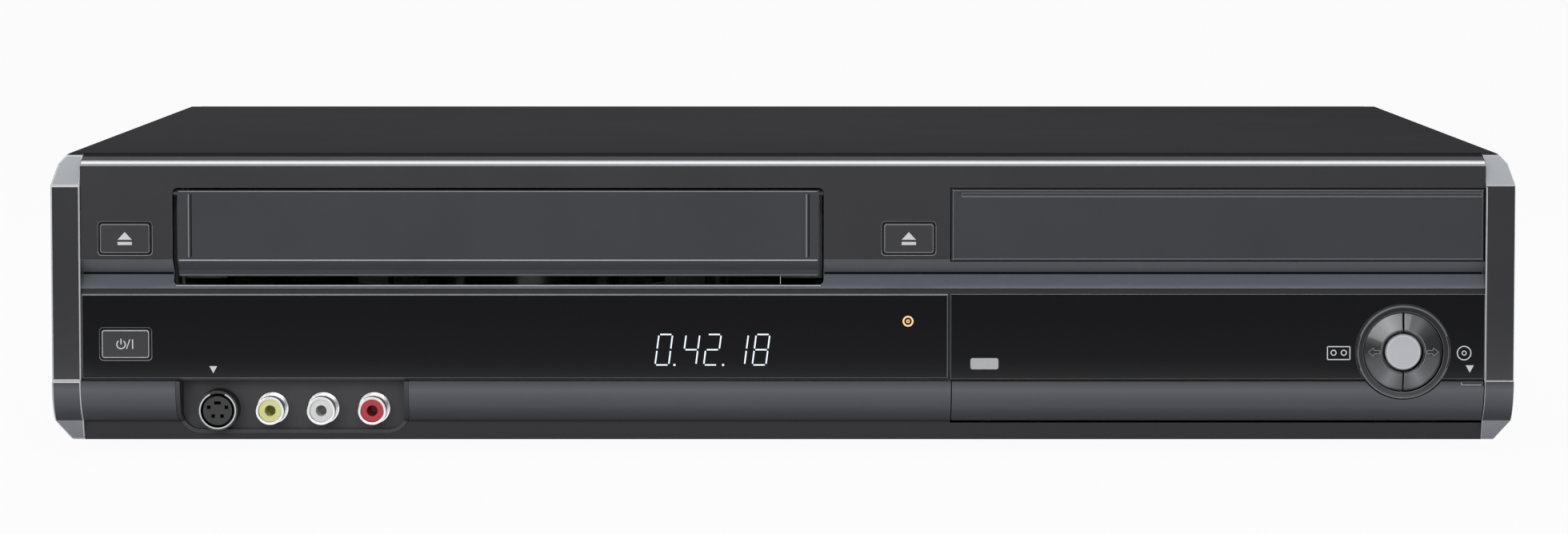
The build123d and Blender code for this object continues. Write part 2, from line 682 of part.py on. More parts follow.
foot_x = WIDTH / 2 - 50.0
foot_y = DEPTH / 2 - 56.0
foot_points = [(sx * foot_x, sy * foot_y) for sx in (-1, 1) for sy in (-1, 1)]
FOOT_RADIUS = 11.0

with BuildPart() as feet:
    for x, y in foot_points:
        with Locations((x, y, FOOT_HEIGHT / 2)):
            Cone(FOOT_RADIUS - 0.6, FOOT_RADIUS, FOOT_HEIGHT)
keep(feet, "feet")

deck_z = strip_bottom + 15.0  # top of the cassette deck's plate
DECK_PLATE = 1.6
deck_y0 = y_front + 33.0
DECK_LENGTH = 230.0
deck_y1 = deck_y0 + DECK_LENGTH
bracket_in = CASSETTE_WIDTH / 2 + 4.1
deck_posts = [(cassette_x + sx * 84.0, y) for sx in (-1, 1) for y in (deck_y0 + 10.0, deck_y1 - 10.0)]

drive_z0 = tray_z0 - 12.0
drive_y0 = y_front + 23.0
DRIVE_LENGTH = 180.0
drive_y1 = drive_y0 + DRIVE_LENGTH
DRIVE_HALF = 72.0
drive_posts = [(tray_x + sx * 67.0, y) for sx in (-1, 1) for y in (drive_y0 + 16.0, drive_y1 - 8.0)]

main_y1 = rear_y - 6.0
main_posts = [(tray_x + sx * 52.0, y) for sx in (-1, 1) for y in (y_front + 40.0, y_rear - 30.0)]
power_z0 = FOOT_HEIGHT + 10.7
power_x0 = x_left + 12.0
POWER_BOARD_WIDTH = 143.0
power_y0 = deck_y1 + 4.0
power_posts = [
    (power_x0 + dx, y) for dx in (8.0, POWER_BOARD_WIDTH - 8.0) for y in (power_y0 + 6.0, rear_y - 12.0)
]

STANDOFF = 3.5

with BuildPart() as bottom_chassis:
    with BuildSketch(Plane.XY.offset(FOOT_HEIGHT)):
        with BuildLine():
            Polyline(
                (-cover_in + 0.2, cover_y + 0.2),
                (cover_in - 0.2, cover_y + 0.2),
                (cover_in - 0.2, rear_y - 0.1),
                (-cover_in + 0.2, rear_y - 0.1),
                (-cover_in + 0.2, cover_y + 0.2),
            )
        make_face()
        # vent slots under the power board and the main board
        for vent_x in (power_x0 + 84.0, tray_x - 40.0):
            with Locations((vent_x, y_rear - 55.0)):
                with GridLocations(7.0, 1.0, 7, 1):
                    Rectangle(3.0, 26.0, mode=Mode.SUBTRACT)
    extrude(amount=SHEET)
    for side in (-1, 1):
        wall_x = sorted((side * (cover_in - 0.2), side * (cover_in - 0.2 - SHEET)))
        block(wall_x[0], wall_x[1], flange_y + 0.5, rear_y - 0.1, floor_z - SHEET, floor_z + 16.0)
    for points, top in (
        (deck_posts, deck_z - DECK_PLATE),
        (drive_posts, drive_z0),
        (main_posts, main_z),
        (power_posts, power_z0),
    ):
        # six-sided standoffs
        with BuildSketch(Plane.XY.offset(floor_z - 0.5)):
            with Locations(*points):
                RegularPolygon(STANDOFF, 6)
        extrude(amount=top - floor_z + 0.5)
keep(bottom_chassis, "bottom_chassis")

# ==== Rear panel and what it holds ====

FAN_SIZE = 40.0
FAN_DEPTH = 10.0
fan_x = power_x0 + 100.0
fan_z = FOOT_HEIGHT + 46.7
inlet_x = power_x0 + 16.0
inlet_z = power_z0 + BOARD + 9.0
INLET_WIDTH = 24.0
INLET_HEIGHT = 18.0
tuner_x = -40.0
scart_x = 25.0
SCART_WIDTH = 52.0
rca_block_x = 100.0
hdmi_x = 165.0
rear_block_z = main_z + BOARD
aerial_points = [(tuner_x, rear_block_z + 9.0), (tuner_x, rear_block_z + 25.0)]
rear_rca_points = [
    (rca_block_x + column * RCA_PITCH, rear_block_z + up) for column in (-1, 0, 1) for up in (9.0, 24.0)
]

with BuildPart() as rear_panel:
    with BuildSketch(front_plane(rear_y + SHEET)):
        with Locations((0.0, (roof_z + floor_z) / 2)):
            Rectangle(2 * cover_in - 0.6, roof_z - floor_z - 0.4)
        with Locations((inlet_x, inlet_z)):
            Rectangle(INLET_WIDTH, INLET_HEIGHT, mode=Mode.SUBTRACT)
        with Locations(*aerial_points):
            Circle(5.6, mode=Mode.SUBTRACT)
        for level in (10.0, 28.0):
            with Locations((scart_x, rear_block_z + level)):
                Rectangle(SCART_WIDTH, 16.0, mode=Mode.SUBTRACT)
        with Locations(*rear_rca_points):
            Circle(5.0, mode=Mode.SUBTRACT)
        with Locations((hdmi_x, rear_block_z + 3.25)):
            Rectangle(16.0, 7.5, mode=Mode.SUBTRACT)
        # fan grille
        for step in range(-4, 5):
            slot_half = (17.0 ** 2 - (step * 4.0) ** 2) ** 0.5
            with Locations((fan_x + step * 4.0, fan_z)):
                Rectangle(2.4, 2 * slot_half, mode=Mode.SUBTRACT)
    extrude(amount=SHEET)
keep(rear_panel, "rear_panel")

with BuildPart() as mains_inlet:
    block(inlet_x - INLET_WIDTH / 2 + SEAT, inlet_x + INLET_WIDTH / 2 - SEAT, rear_y - 16.0, rear_y + 2.2,
          inlet_z - INLET_HEIGHT / 2 + SEAT, inlet_z + INLET_HEIGHT / 2 - SEAT)
    block(inlet_x - 10.0, inlet_x + 10.0, rear_y - 16.0, rear_y - 2.0, power_z0 + BOARD, inlet_z)
    with BuildSketch(front_plane(rear_y + 3.0)):
        with Locations((inlet_x, inlet_z)):
            SlotOverall(17.0, 9.0)
    extrude(amount=14.0, mode=Mode.SUBTRACT)
    for dx in (-4.3, 4.3):
        bore(inlet_x + dx, inlet_z, 1.15, rear_y - 12.0, rear_y - 0.5, Mode.ADD)
keep(mains_inlet, "mains_inlet")

with BuildPart() as fan_frame:
    with BuildSketch(front_plane(rear_y)):
        with Locations((fan_x, fan_z)):
            RectangleRounded(FAN_SIZE, FAN_SIZE, 3.0)
            Circle(18.8, mode=Mode.SUBTRACT)
    extrude(amount=FAN_DEPTH)
    # motor plate on three struts
    with BuildSketch(front_plane(rear_y - FAN_DEPTH + 1.6)):
        with Locations((fan_x, fan_z)):
            Circle(9.0)
            with PolarLocations(13.5, 3):
                Rectangle(12.0, 2.4)
    extrude(amount=1.6)
    bore(fan_x, fan_z, 1.5 + PIN_FIT, rear_y - FAN_DEPTH - 1.0, rear_y)
keep(fan_frame, "fan_frame")

with BuildPart() as fan_rotor:
    hub_front = rear_y - FAN_DEPTH + 1.6 + RUN
    with BuildSketch(front_plane(rear_y - 0.8)):
        with Locations((fan_x, fan_z)):
            Circle(9.0)
    extrude(amount=rear_y - 0.8 - hub_front)
    for blade in range(7):
        turn = blade * 360.0 / 7
        blade_plane = Plane(
            origin=(fan_x, (hub_front + rear_y - 0.8) / 2, fan_z),
            x_dir=(0, 1, 0),
            z_dir=(cos(radians(turn)), 0, sin(radians(turn))),
        )
        with BuildSketch(blade_plane.offset(7.5)):
            Rectangle(1.0, 9.0, rotation=35.0)
        extrude(amount=10.3)
    bore(fan_x, fan_z, 1.5, rear_y - FAN_DEPTH + 0.2, rear_y - 1.0, Mode.ADD)
    with BuildSketch(front_plane(rear_y)):
        with Locations((fan_x, fan_z)):
            Circle(18.3)
    extrude(amount=FAN_DEPTH, mode=Mode.INTERSECT)
keep(fan_rotor, "fan_rotor")

with BuildPart() as rear_socket_blocks:
    # two stacked wide sockets with a slot round their contact block
    block(scart_x - SCART_WIDTH / 2 + SEAT, scart_x + SCART_WIDTH / 2 - SEAT, rear_y - 24.0, rear_y - 0.1,
          rear_block_z, rear_block_z + 36.0)
    for level in (10.0, 28.0):
        z = rear_block_z + level
        block(scart_x - SCART_WIDTH / 2 + SEAT, scart_x + SCART_WIDTH / 2 - SEAT, rear_y - 2.0, rear_y + 2.0,
              z - 7.8, z + 7.8)
        block(scart_x - 24.0, scart_x + 24.0, rear_y - 8.0, rear_y + 3.0, z - 6.0, z + 6.0, Mode.SUBTRACT)
        block(scart_x - 20.5, scart_x + 20.5, rear_y - 9.0, rear_y + 1.4, z - 3.0, z + 3.0)
    # socket block of the audio and component outputs
    block(rca_block_x - 1.6 * RCA_PITCH, rca_block_x + 1.6 * RCA_PITCH, rear_y - 14.0, rear_y - 0.1,
          rear_block_z, rear_block_z + 32.0)
    for x, z in rear_rca_points:
        bore(x, z, 4.9, rear_y - 1.0, rear_y + 1.6, Mode.ADD)
        bore(x, z, 1.7, rear_y - 8.0, rear_y + 3.0)
    # screened digital picture socket
    block(hdmi_x - 7.5, hdmi_x + 7.5, rear_y - 12.0, rear_y + 1.4, rear_block_z, rear_block_z + 6.5)
    block(hdmi_x - 6.8, hdmi_x + 6.8, rear_y - 8.0, rear_y + 3.0, rear_block_z + 1.0, rear_block_z + 5.6,
          Mode.SUBTRACT)
    block(hdmi_x - 5.5, hdmi_x + 5.5, rear_y - 9.0, rear_y + 0.8, rear_block_z + 2.6, rear_block_z + 3.8)
keep(rear_socket_blocks, "rear_socket_blocks")

with BuildPart() as rear_jack_shells:
    # screened tuner box with its two threaded aerial sockets
    block(tuner_x - 14.0, tuner_x + 14.0, rear_y - 52.0, rear_y - 0.1, rear_block_z, rear_block_z + 34.0)
    for x, z in aerial_points:
        bore(x, z, 5.4, rear_y - 1.0, rear_y + 3.0, Mode.ADD)
        bore(x, z, 4.7, rear_y - 1.0, y_rear, Mode.ADD)
        bore(x, z, 2.0, rear_y, y_rear + 1.0)
    for x, z in rear_rca_points:
        bore(x, z, RCA_OUTER, rear_y + 1.6, rear_y + 10.0, Mode.ADD)
        bore(x, z, RCA_BORE, rear_y + 2.6, rear_y + 11.0)
keep(rear_jack_shells, "rear_jack_shells")

SCREW_HEAD = 3.6
side_screw_z = floor_z + 9.0
rear_screw_z = HEIGHT - LIP_HEIGHT / 2 - 0.5
with BuildPart() as case_screws:
    for side in (-1, 1):
        for y in (-DEPTH / 2 + 75.0, DEPTH / 2 - 75.0):
            outer_x = sorted((side * (cover_in + SHEET), side * (cover_in + SHEET + 1.9)))
            cross_pin(outer_x[0], outer_x[1], y, side_screw_z, SCREW_HEAD)
    for x in (-150.0, 0.0, 150.0):
        bore(x, rear_screw_z, SCREW_HEAD, rear_y + 2 * SHEET + 0.1, rear_y + 2 * SHEET + 2.0, Mode.ADD)
keep(case_screws, "case_screws")

# ==== Boards ====

with BuildPart() as front_board:
    with BuildSketch(front_plane(board_y + BOARD)):
        with BuildLine():
            Polyline(
                (inner_left + 6.0, window_bottom + 2.0),
                (inner_right - 6.0, window_bottom + 2.0),
                (inner_right - 6.0, window_top),
                (tray_key_x + 9.0, window_top),
                (tray_key_x + 9.0, eject_z + 6.0),
                (tray_key_x - 9.0, eject_z + 6.0),
                (tray_key_x - 9.0, window_top),
                (key_x + 9.5, window_top),
                (key_x + 9.5, eject_z + 6.0),
                (inner_left + 6.0, eject_z + 6.0),
                (inner_left + 6.0, window_bottom + 2.0),
            )
        make_face()
        # lower tongues: front sockets at the left, small keys at the right
        with Locations(((jack_x0 + jack_x1) / 2, (floor_z + 3.0 + window_bottom + 3.0) / 2)):
            Rectangle(JACK_WIDTH + 4.0, window_bottom - floor_z)
        key_span = small_key_x[-1] - small_key_x[0]
        with Locations((small_key_x[0] + key_span / 2, (strip_bottom + window_bottom + 3.5) / 2)):
            Rectangle(key_span + 14.0, window_bottom - strip_bottom + 2.5)
    extrude(amount=BOARD)
    switch_points = [(key_x, eject_z), (tray_key_x, eject_z), (key_x, power_z)]
    switch_points += [(dial_x + dx, dial_z) for dx in (-stem_out, 0.0, stem_out)]
    switch_points += [(x, small_key_z) for x in small_key_x]
    with BuildSketch(front_plane(board_y)):
        with Locations(*switch_points):
            Rectangle(SWITCH_SIDE, SWITCH_SIDE)
    extrude(amount=SWITCH_TALL)
    with BuildSketch(front_plane(board_y - 1.0)):
        with Locations(*switch_points):
            Rectangle(SWITCH_SIDE / 2, SWITCH_SIDE / 2)
    extrude(amount=SWITCH_TALL + PLUNGER - 1.0)
keep(front_board, "front_board")

with BuildPart() as display_module:
    block(display_x - DISPLAY_WIDTH / 2, display_x + DISPLAY_WIDTH / 2, backing_y + WALL + SEAT, board_y,
          display_z - DISPLAY_HEIGHT / 2, display_z + DISPLAY_HEIGHT / 2)
    with BuildSketch(front_plane(backing_y + WALL + SEAT)):
        with Locations((display_x, display_z)):
            Rectangle(DISPLAY_WIDTH - 14.0, DISPLAY_HEIGHT - 3.0)
    extrude(amount=1.2)
keep(display_module, "display_module")

with BuildPart() as main_board:
    with BuildSketch(Plane.XY.offset(main_z)):
        with BuildLine():
            Polyline(
                (tray_x - 60.0, flange_y - 2.0),
                (tray_x + 60.0, flange_y - 2.0),
                (tray_x + 60.0, drive_y1 + 4.0),
                (inner_right - 6.0, drive_y1 + 4.0),
                (inner_right - 6.0, main_y1),
                (tuner_x - 22.0, main_y1),
                (tuner_x - 22.0, power_y0),
                (tray_x - 60.0, power_y0),
                (tray_x - 60.0, flange_y - 2.0),
            )
        make_face()
        # tongue under the USB socket
        with Locations((tray_x - 60.0 - 4.0, (pocket_y + 3.0 + flange_y + 8.0) / 2)):
            Rectangle(22.0, flange_y + 8.0 - pocket_y - 3.0)
    extrude(amount=BOARD)
    top = main_z + BOARD
    # finned heat sink over the processor, capacitors and ribbon connectors
    block(tray_x - 22.0, tray_x + 18.0, 20.0, 56.0, top, top + 4.0)
    for fin in range(6):
        block(tray_x - 22.0 + fin * 7.6, tray_x - 20.0 + fin * 7.6, 20.0, 56.0, top, top + 13.0)
    for dx, dy in ((-48.0, 70.0), (-34.0, 70.0), (40.0, 70.0)):
        post(tray_x + dx, dy, 5.0, top, top + 12.0)
    for dx, dy in ((-30.0, -60.0), (10.0, -60.0), (-30.0, -20.0)):
        block(tray_x + dx, tray_x + dx + 22.0, dy, dy + 5.0, top, top + 6.0)
keep(main_board, "main_board")

with BuildPart() as power_board:
    with BuildSketch(Plane.XY.offset(power_z0)):
        with BuildLine():
            Polyline(
                (power_x0, power_y0),
                (power_x0 + POWER_BOARD_WIDTH, power_y0),
                (power_x0 + POWER_BOARD_WIDTH, rear_y - 2.0),
                (power_x0, rear_y - 2.0),
                (power_x0, power_y0),
            )
        make_face()
    extrude(amount=BOARD)
    top = power_z0 + BOARD
    # transformer with its winding, filter capacitors, line filter and heat sinks
    block(power_x0 + 58.0, power_x0 + 88.0, power_y0 + 10.0, power_y0 + 38.0, top, top + 8.0)
    block(power_x0 + 62.0, power_x0 + 84.0, power_y0 + 12.0, power_y0 + 36.0, top, top + 26.0)
    post(power_x0 + 42.0, power_y0 + 28.0, 11.0, top, top + 30.0)
    for dx in (106.0, 124.0):
        post(power_x0 + dx, power_y0 + 20.0, 5.0, top, top + 16.0)
    block(power_x0 + 14.0, power_x0 + 28.0, power_y0 + 8.0, power_y0 + 26.0, top, top + 16.0)
    block(power_x0 + 92.0, power_x0 + 94.0, power_y0 + 6.0, power_y0 + 40.0, top, top + 24.0)
keep(power_board, "power_board")

# ==== Cassette side ====

with BuildPart() as cassette_flap:
    flap_x0 = slot_x0 + 1.4
    flap_x1 = slot_x1 - 1.4
    flap_z1 = slot_z1 - 0.7
    flap_z0 = slot_z0 + 2.4
    thick = 1.6
    with BuildSketch(Plane.YZ.offset(flap_x0)):
        with BuildLine():
            Polyline(
                (face_y, flap_z1),
                (face_y, face_bottom),
                (face_y + 3.9, face_bottom - 3.4),
                (face_y + 3.9, flap_z0),
                (face_y + 3.9 + thick, flap_z0),
                (face_y + 3.9 + thick, face_bottom - 2.8),
                (face_y + thick, face_bottom + 0.6),
                (face_y + thick, flap_axis_z - 1.0),
                (face_y + thick + 0.5, flap_axis_z),
                (face_y + thick, flap_z1),
                (face_y, flap_z1),
            )
        make_face()
    extrude(amount=flap_x1 - flap_x0)
    # two thin ribs near the ends
    for rib_x in (flap_x0 + 3.3, flap_x1 - 3.7):
        block(rib_x - 0.35, rib_x + 0.35, face_y - 0.25, face_y + 0.5, face_bottom + 0.4, flap_z1 - 0.9)
    cross_pin(flap_x0 - 3.5, flap_x0 + 3.0, flap_axis_y, flap_axis_z, FLAP_PIN)
    cross_pin(flap_x1 - 3.0, flap_x1 + 3.5, flap_axis_y, flap_axis_z, FLAP_PIN)
keep(cassette_flap, "cassette_flap")

HOLDER_LENGTH = 63.0
HOLDER_SHEET = 1.2
LIFT_TRAVEL = 16.0
SLIDE_TRAVEL = 60.0
holder_y0 = y_front + 37.0
holder_in = CASSETTE_WIDTH / 2 + 0.8
holder_out = holder_in + HOLDER_SHEET
ledge_z = slot_z0 + 0.7
holder_z0 = ledge_z - HOLDER_SHEET
holder_z1 = ledge_z + CASSETTE_HEIGHT + 1.8 + HOLDER_SHEET
SLIDE_PIN = 1.5
slide_pin_z = holder_z0 + 9.0
lift_pin_z = holder_z0 + 19.0
lift_pin_y = holder_y0 + 31.0
slide_pin_y = (holder_y0 + 9.0, holder_y0 + 46.0)

with BuildPart() as cassette_holder:
    with BuildSketch(front_plane(holder_y0 + HOLDER_LENGTH)):
        with Locations((cassette_x, (holder_z0 + holder_z1) / 2)):
            Rectangle(2 * holder_out, holder_z1 - holder_z0)
            Rectangle(2 * holder_in, holder_z1 - holder_z0 - 2 * HOLDER_SHEET, mode=Mode.SUBTRACT)
        # open underneath, between the two ledges
        with Locations((cassette_x, holder_z0 + HOLDER_SHEET / 2)):
            Rectangle(2 * (holder_in - 11.0), HOLDER_SHEET + 0.2, mode=Mode.SUBTRACT)
    extrude(amount=HOLDER_LENGTH)
    # window in the top plate, between two pressed springs
    block(cassette_x - 30.0, cassette_x + 30.0, holder_y0 + 12.0, holder_y0 + HOLDER_LENGTH - 14.0,
          holder_z1 - 3.0, holder_z1 + 1.0, Mode.SUBTRACT)
    for side in (-1, 1):
        cross_pin(*sorted((cassette_x + side * (holder_in + 0.3), cassette_x + side * (holder_out + 1.6))),
                  lift_pin_y, lift_pin_z, SLIDE_PIN)
keep(cassette_holder, "cassette_holder")

slider_in = holder_out + 0.6
SLIDER_SHEET = 1.0
slider_out = slider_in + SLIDER_SHEET
slider_top = holder_z1 + 3.0
with BuildPart() as holder_slider:
    for side in (-1, 1):
        plate_x = sorted((cassette_x + side * slider_in, cassette_x + side * slider_out))
        block(*plate_x, holder_y0 + 2.0, holder_y0 + HOLDER_LENGTH - 5.0, holder_z0 - 4.0, slider_top)
        # upright slot for the holder's pin
        block(plate_x[0] - 0.1, plate_x[1] + 0.1, lift_pin_y - SLIDE_PIN - RUN, lift_pin_y + SLIDE_PIN + RUN,
              lift_pin_z - LIFT_TRAVEL - SLIDE_PIN - RUN, lift_pin_z + SLIDE_PIN + RUN, Mode.SUBTRACT)
        for pin_y in slide_pin_y:
            pin_x = sorted((cassette_x + side * (slider_in + 0.3), cassette_x + side * (bracket_in + 2.2)))
            cross_pin(*pin_x, pin_y, slide_pin_z, SLIDE_PIN)
    block(cassette_x - slider_out, cassette_x + slider_out, holder_y0 + HOLDER_LENGTH - 10.0,
          holder_y0 + HOLDER_LENGTH - 5.0, holder_z1 + 1.0, slider_top)
keep(holder_slider, "holder_slider")

drum_x = cassette_x
drum_y = deck_y0 + 191.0
drum_z = deck_z + 5.0
drum_plane = Plane(
    origin=(drum_x, drum_y, drum_z),
    x_dir=(1, 0, 0),
    z_dir=(0, -sin(radians(DRUM_TILT)), cos(radians(DRUM_TILT))),
)
reel_y = deck_y0 + 97.0
reel_points = [(cassette_x - REEL_SPACING / 2, reel_y), (cassette_x + REEL_SPACING / 2, reel_y)]
REEL_POST = 2.0
reel_top = holder_z0 - 5.0
CAPSTAN_RADIUS = 2.5
capstan_x = cassette_x + 38.0
capstan_y = deck_y0 + 144.0
PINCH_RADIUS = 6.0
PINCH_SWING = 30.0
pivot_x = capstan_x + 24.0
pivot_y = capstan_y + 14.0
pressed_dx = capstan_x - pivot_x
pressed_dy = capstan_y + CAPSTAN_RADIUS + PINCH_RADIUS + RUN - pivot_y
arm_length = hypot(pressed_dx, pressed_dy)
rest_angle = atan2(pressed_dy, pressed_dx) - radians(PINCH_SWING)
roller_x = pivot_x + arm_length * cos(rest_angle)
roller_y = pivot_y + arm_length * sin(rest_angle)
PIVOT_PIN = 2.0

with BuildPart() as deck_chassis:
    bracket_out = bracket_in + 1.2
    with BuildSketch(Plane.XY.offset(deck_z - DECK_PLATE)):
        with Locations((cassette_x, (deck_y0 + deck_y1) / 2)):
            Rectangle(2 * bracket_out, DECK_LENGTH)
        # cut-outs under the cassette and for the loading guides
        with Locations((cassette_x, deck_y0 + 38.0)):
            RectangleRounded(120.0, 44.0, 4.0, mode=Mode.SUBTRACT)
        for side in (-1, 1):
            with Locations((drum_x + side * 44.0, drum_y - 14.0)):
                SlotOverall(46.0, 7.0, rotation=90 - side * 14.0, mode=Mode.SUBTRACT)
        with Locations((capstan_x, capstan_y)):
            Circle(CAPSTAN_RADIUS + PIN_FIT, mode=Mode.SUBTRACT)
    extrude(amount=DECK_PLATE)
    for side in (-1, 1):
        plate_x = sorted((cassette_x + side * bracket_in, cassette_x + side * bracket_out))
        block(*plate_x, deck_y0, holder_y0 + HOLDER_LENGTH + SLIDE_TRAVEL + 8.0,
              deck_z - DECK_PLATE, holder_z1)
        # level slot for the slider's pins
        block(plate_x[0] - 0.1, plate_x[1] + 0.1, slide_pin_y[0] - SLIDE_PIN - RUN,
              slide_pin_y[1] + SLIDE_TRAVEL + SLIDE_PIN + RUN, slide_pin_z - SLIDE_PIN - RUN,
              slide_pin_z + SLIDE_PIN + RUN, Mode.SUBTRACT)
    for x, y in reel_points:
        post(x, y, REEL_POST, deck_z - 0.5, reel_top - 2.0)
    post(pivot_x, pivot_y, PIVOT_PIN, deck_z - 0.5, deck_z + 34.0)
    # audio and erase head blocks beside the tape path
    block(cassette_x + 48.0, cassette_x + 58.0, drum_y - 8.0, drum_y + 4.0, deck_z - 0.5, deck_z + 28.0)
    block(cassette_x - 58.0, cassette_x - 48.0, drum_y - 8.0, drum_y + 4.0, deck_z - 0.5, deck_z + 26.0)
keep(deck_chassis, "deck_chassis")

LOWER_DRUM = 14.0
UPPER_DRUM = 11.0
with BuildPart() as lower_drum:
    with BuildSketch(drum_plane):
        Circle(DRUM_DIAMETER / 2 + 2.5)
    extrude(amount=2.0)
    with BuildSketch(drum_plane.offset(2.0)):
        Circle(DRUM_DIAMETER / 2)
    extrude(amount=LOWER_DRUM)
    post(drum_x, drum_y, 20.0, deck_z, drum_z + 1.0)
    with BuildSketch(drum_plane.offset(8.0)):
        Circle(3.0 + PIN_FIT)
    extrude(amount=LOWER_DRUM, mode=Mode.SUBTRACT)
keep(lower_drum, "lower_drum")

with BuildPart() as upper_drum:
    with BuildSketch(drum_plane.offset(2.0 + LOWER_DRUM + RUN)):
        Circle(DRUM_DIAMETER / 2)
    extrude(amount=UPPER_DRUM)
    with BuildSketch(drum_plane.offset(2.0 + LOWER_DRUM + RUN + UPPER_DRUM - 2.0)):
        Circle(DRUM_DIAMETER / 2 - 5.0)
        Circle(13.0, mode=Mode.SUBTRACT)
    extrude(amount=3.0, mode=Mode.SUBTRACT)
    # windows for the two heads at the lower rim
    with BuildSketch(drum_plane.offset(2.0 + LOWER_DRUM + RUN)):
        with PolarLocations(DRUM_DIAMETER / 2, 2):
            Rectangle(3.0, 5.0)
    extrude(amount=2.0, mode=Mode.SUBTRACT)
    with BuildSketch(drum_plane.offset(9.0)):
        Circle(3.0)
    extrude(amount=LOWER_DRUM)
keep(upper_drum, "upper_drum")

with BuildPart() as capstan:
    # flywheel under the deck plate and the shaft that drives the tape
    post(capstan_x, capstan_y, 20.0, deck_z - DECK_PLATE - 5.5, deck_z - DECK_PLATE - 0.4)
    post(capstan_x, capstan_y, CAPSTAN_RADIUS, deck_z - DECK_PLATE - 1.0, deck_z + 36.0)
keep(capstan, "capstan")

ARM_Z = deck_z + 28.0
with BuildPart() as pinch_arm:
    with BuildSketch(Plane.XY.offset(ARM_Z)):
        with Locations(((pivot_x + roller_x) / 2, (pivot_y + roller_y) / 2)):
            SlotCenterToCenter(arm_length, 9.0, rotation=degrees(rest_angle))
        with Locations((pivot_x, pivot_y)):
            Circle(PIVOT_PIN + PIN_FIT, mode=Mode.SUBTRACT)
    extrude(amount=2.0)
    post(roller_x, roller_y, 1.5, ARM_Z - 17.0, ARM_Z + 0.5)
    post(pivot_x, pivot_y, 4.0, deck_z + RUN, ARM_Z + 0.5)
    post(pivot_x, pivot_y, PIVOT_PIN + PIN_FIT, deck_z, ARM_Z + 3.0, Mode.SUBTRACT)
keep(pinch_arm, "pinch_arm")

with BuildPart() as pinch_roller:
    post(roller_x, roller_y, PINCH_RADIUS, ARM_Z - 16.0, ARM_Z - RUN)
    post(roller_x, roller_y, 1.5 + PIN_FIT, ARM_Z - 18.0, ARM_Z + 1.0, Mode.SUBTRACT)
keep(pinch_roller, "pinch_roller")


def reel(x, y):
    """Reel table: broad foot, hub and three driving fins, on the deck's post."""
    with BuildPart() as table:
        post(x, y, 16.0, deck_z + RUN, deck_z + 3.0)
        post(x, y, 8.0, deck_z + RUN, deck_z + 7.0)
        post(x, y, 4.2, deck_z + RUN, reel_top)
        with BuildSketch(Plane.XY.offset(deck_z + 6.0)):
            with Locations((x, y)):
                with PolarLocations(4.6, 3):
                    Rectangle(3.6, 1.6)
        extrude(amount=reel_top - 2.0 - deck_z - 6.0)
        post(x, y, REEL_POST + PIN_FIT, deck_z, reel_top - 1.5, Mode.SUBTRACT)
    return table


keep(reel(*reel_points[0]), "supply_reel")
keep(reel(*reel_points[1]), "takeup_reel")

# ==== Disc side ====

TRAY_WIDTH = 132.0
TRAY_LENGTH = 178.0
TRAY_TRAVEL = 135.0
tray_top = tray_z0 + 13.6
tray_low = tray_top - 8.0
tray_y0 = face_y + 5.0
tray_y1 = tray_y0 + TRAY_LENGTH
disc_y = tray_y0 + 72.0
disc_z = tray_top - 3.0
RAIL_WIDTH = 3.4
RAIL_LOW = tray_top - 4.0
SLOT_HALF = 20.0
GEAR_MODULE = 1.0
GEAR_TEETH = 20
gear_radius = GEAR_MODULE * GEAR_TEETH / 2
pitch = pi * GEAR_MODULE
rack_x = tray_x - TRAY_WIDTH / 2 + 8.0  # pitch line of the rack
gear_x = rack_x + gear_radius
gear_y = tray_y0 + 30.0
gear_z1 = tray_low - RUN
GEAR_THICK = 3.5
TOOTH_HALF = 0.6  # half a tooth's width at the pitch line
TOOTH_TIP = 0.35

with BuildPart() as tray_front:
    with BuildSketch(front_plane(tray_y0)):
        with Locations((tray_x, (tray_z0 + tray_z1) / 2)):
            Rectangle(TRAY_FRONT_WIDTH - 2 * RUN, TRAY_FRONT_HEIGHT)
    extrude(amount=tray_y0 - face_y)
    chamfer(tray_front.faces().sort_by(Axis.Y)[0].edges(), 0.5)
    # fine groove below the top edge
    block(tray_x0 + 3.5, tray_x1 - 1.2, face_y - 1.0, face_y + 0.5,
          tray_z1 - 2.6, tray_z1 - 1.6, Mode.SUBTRACT)
keep(tray_front, "tray_front")

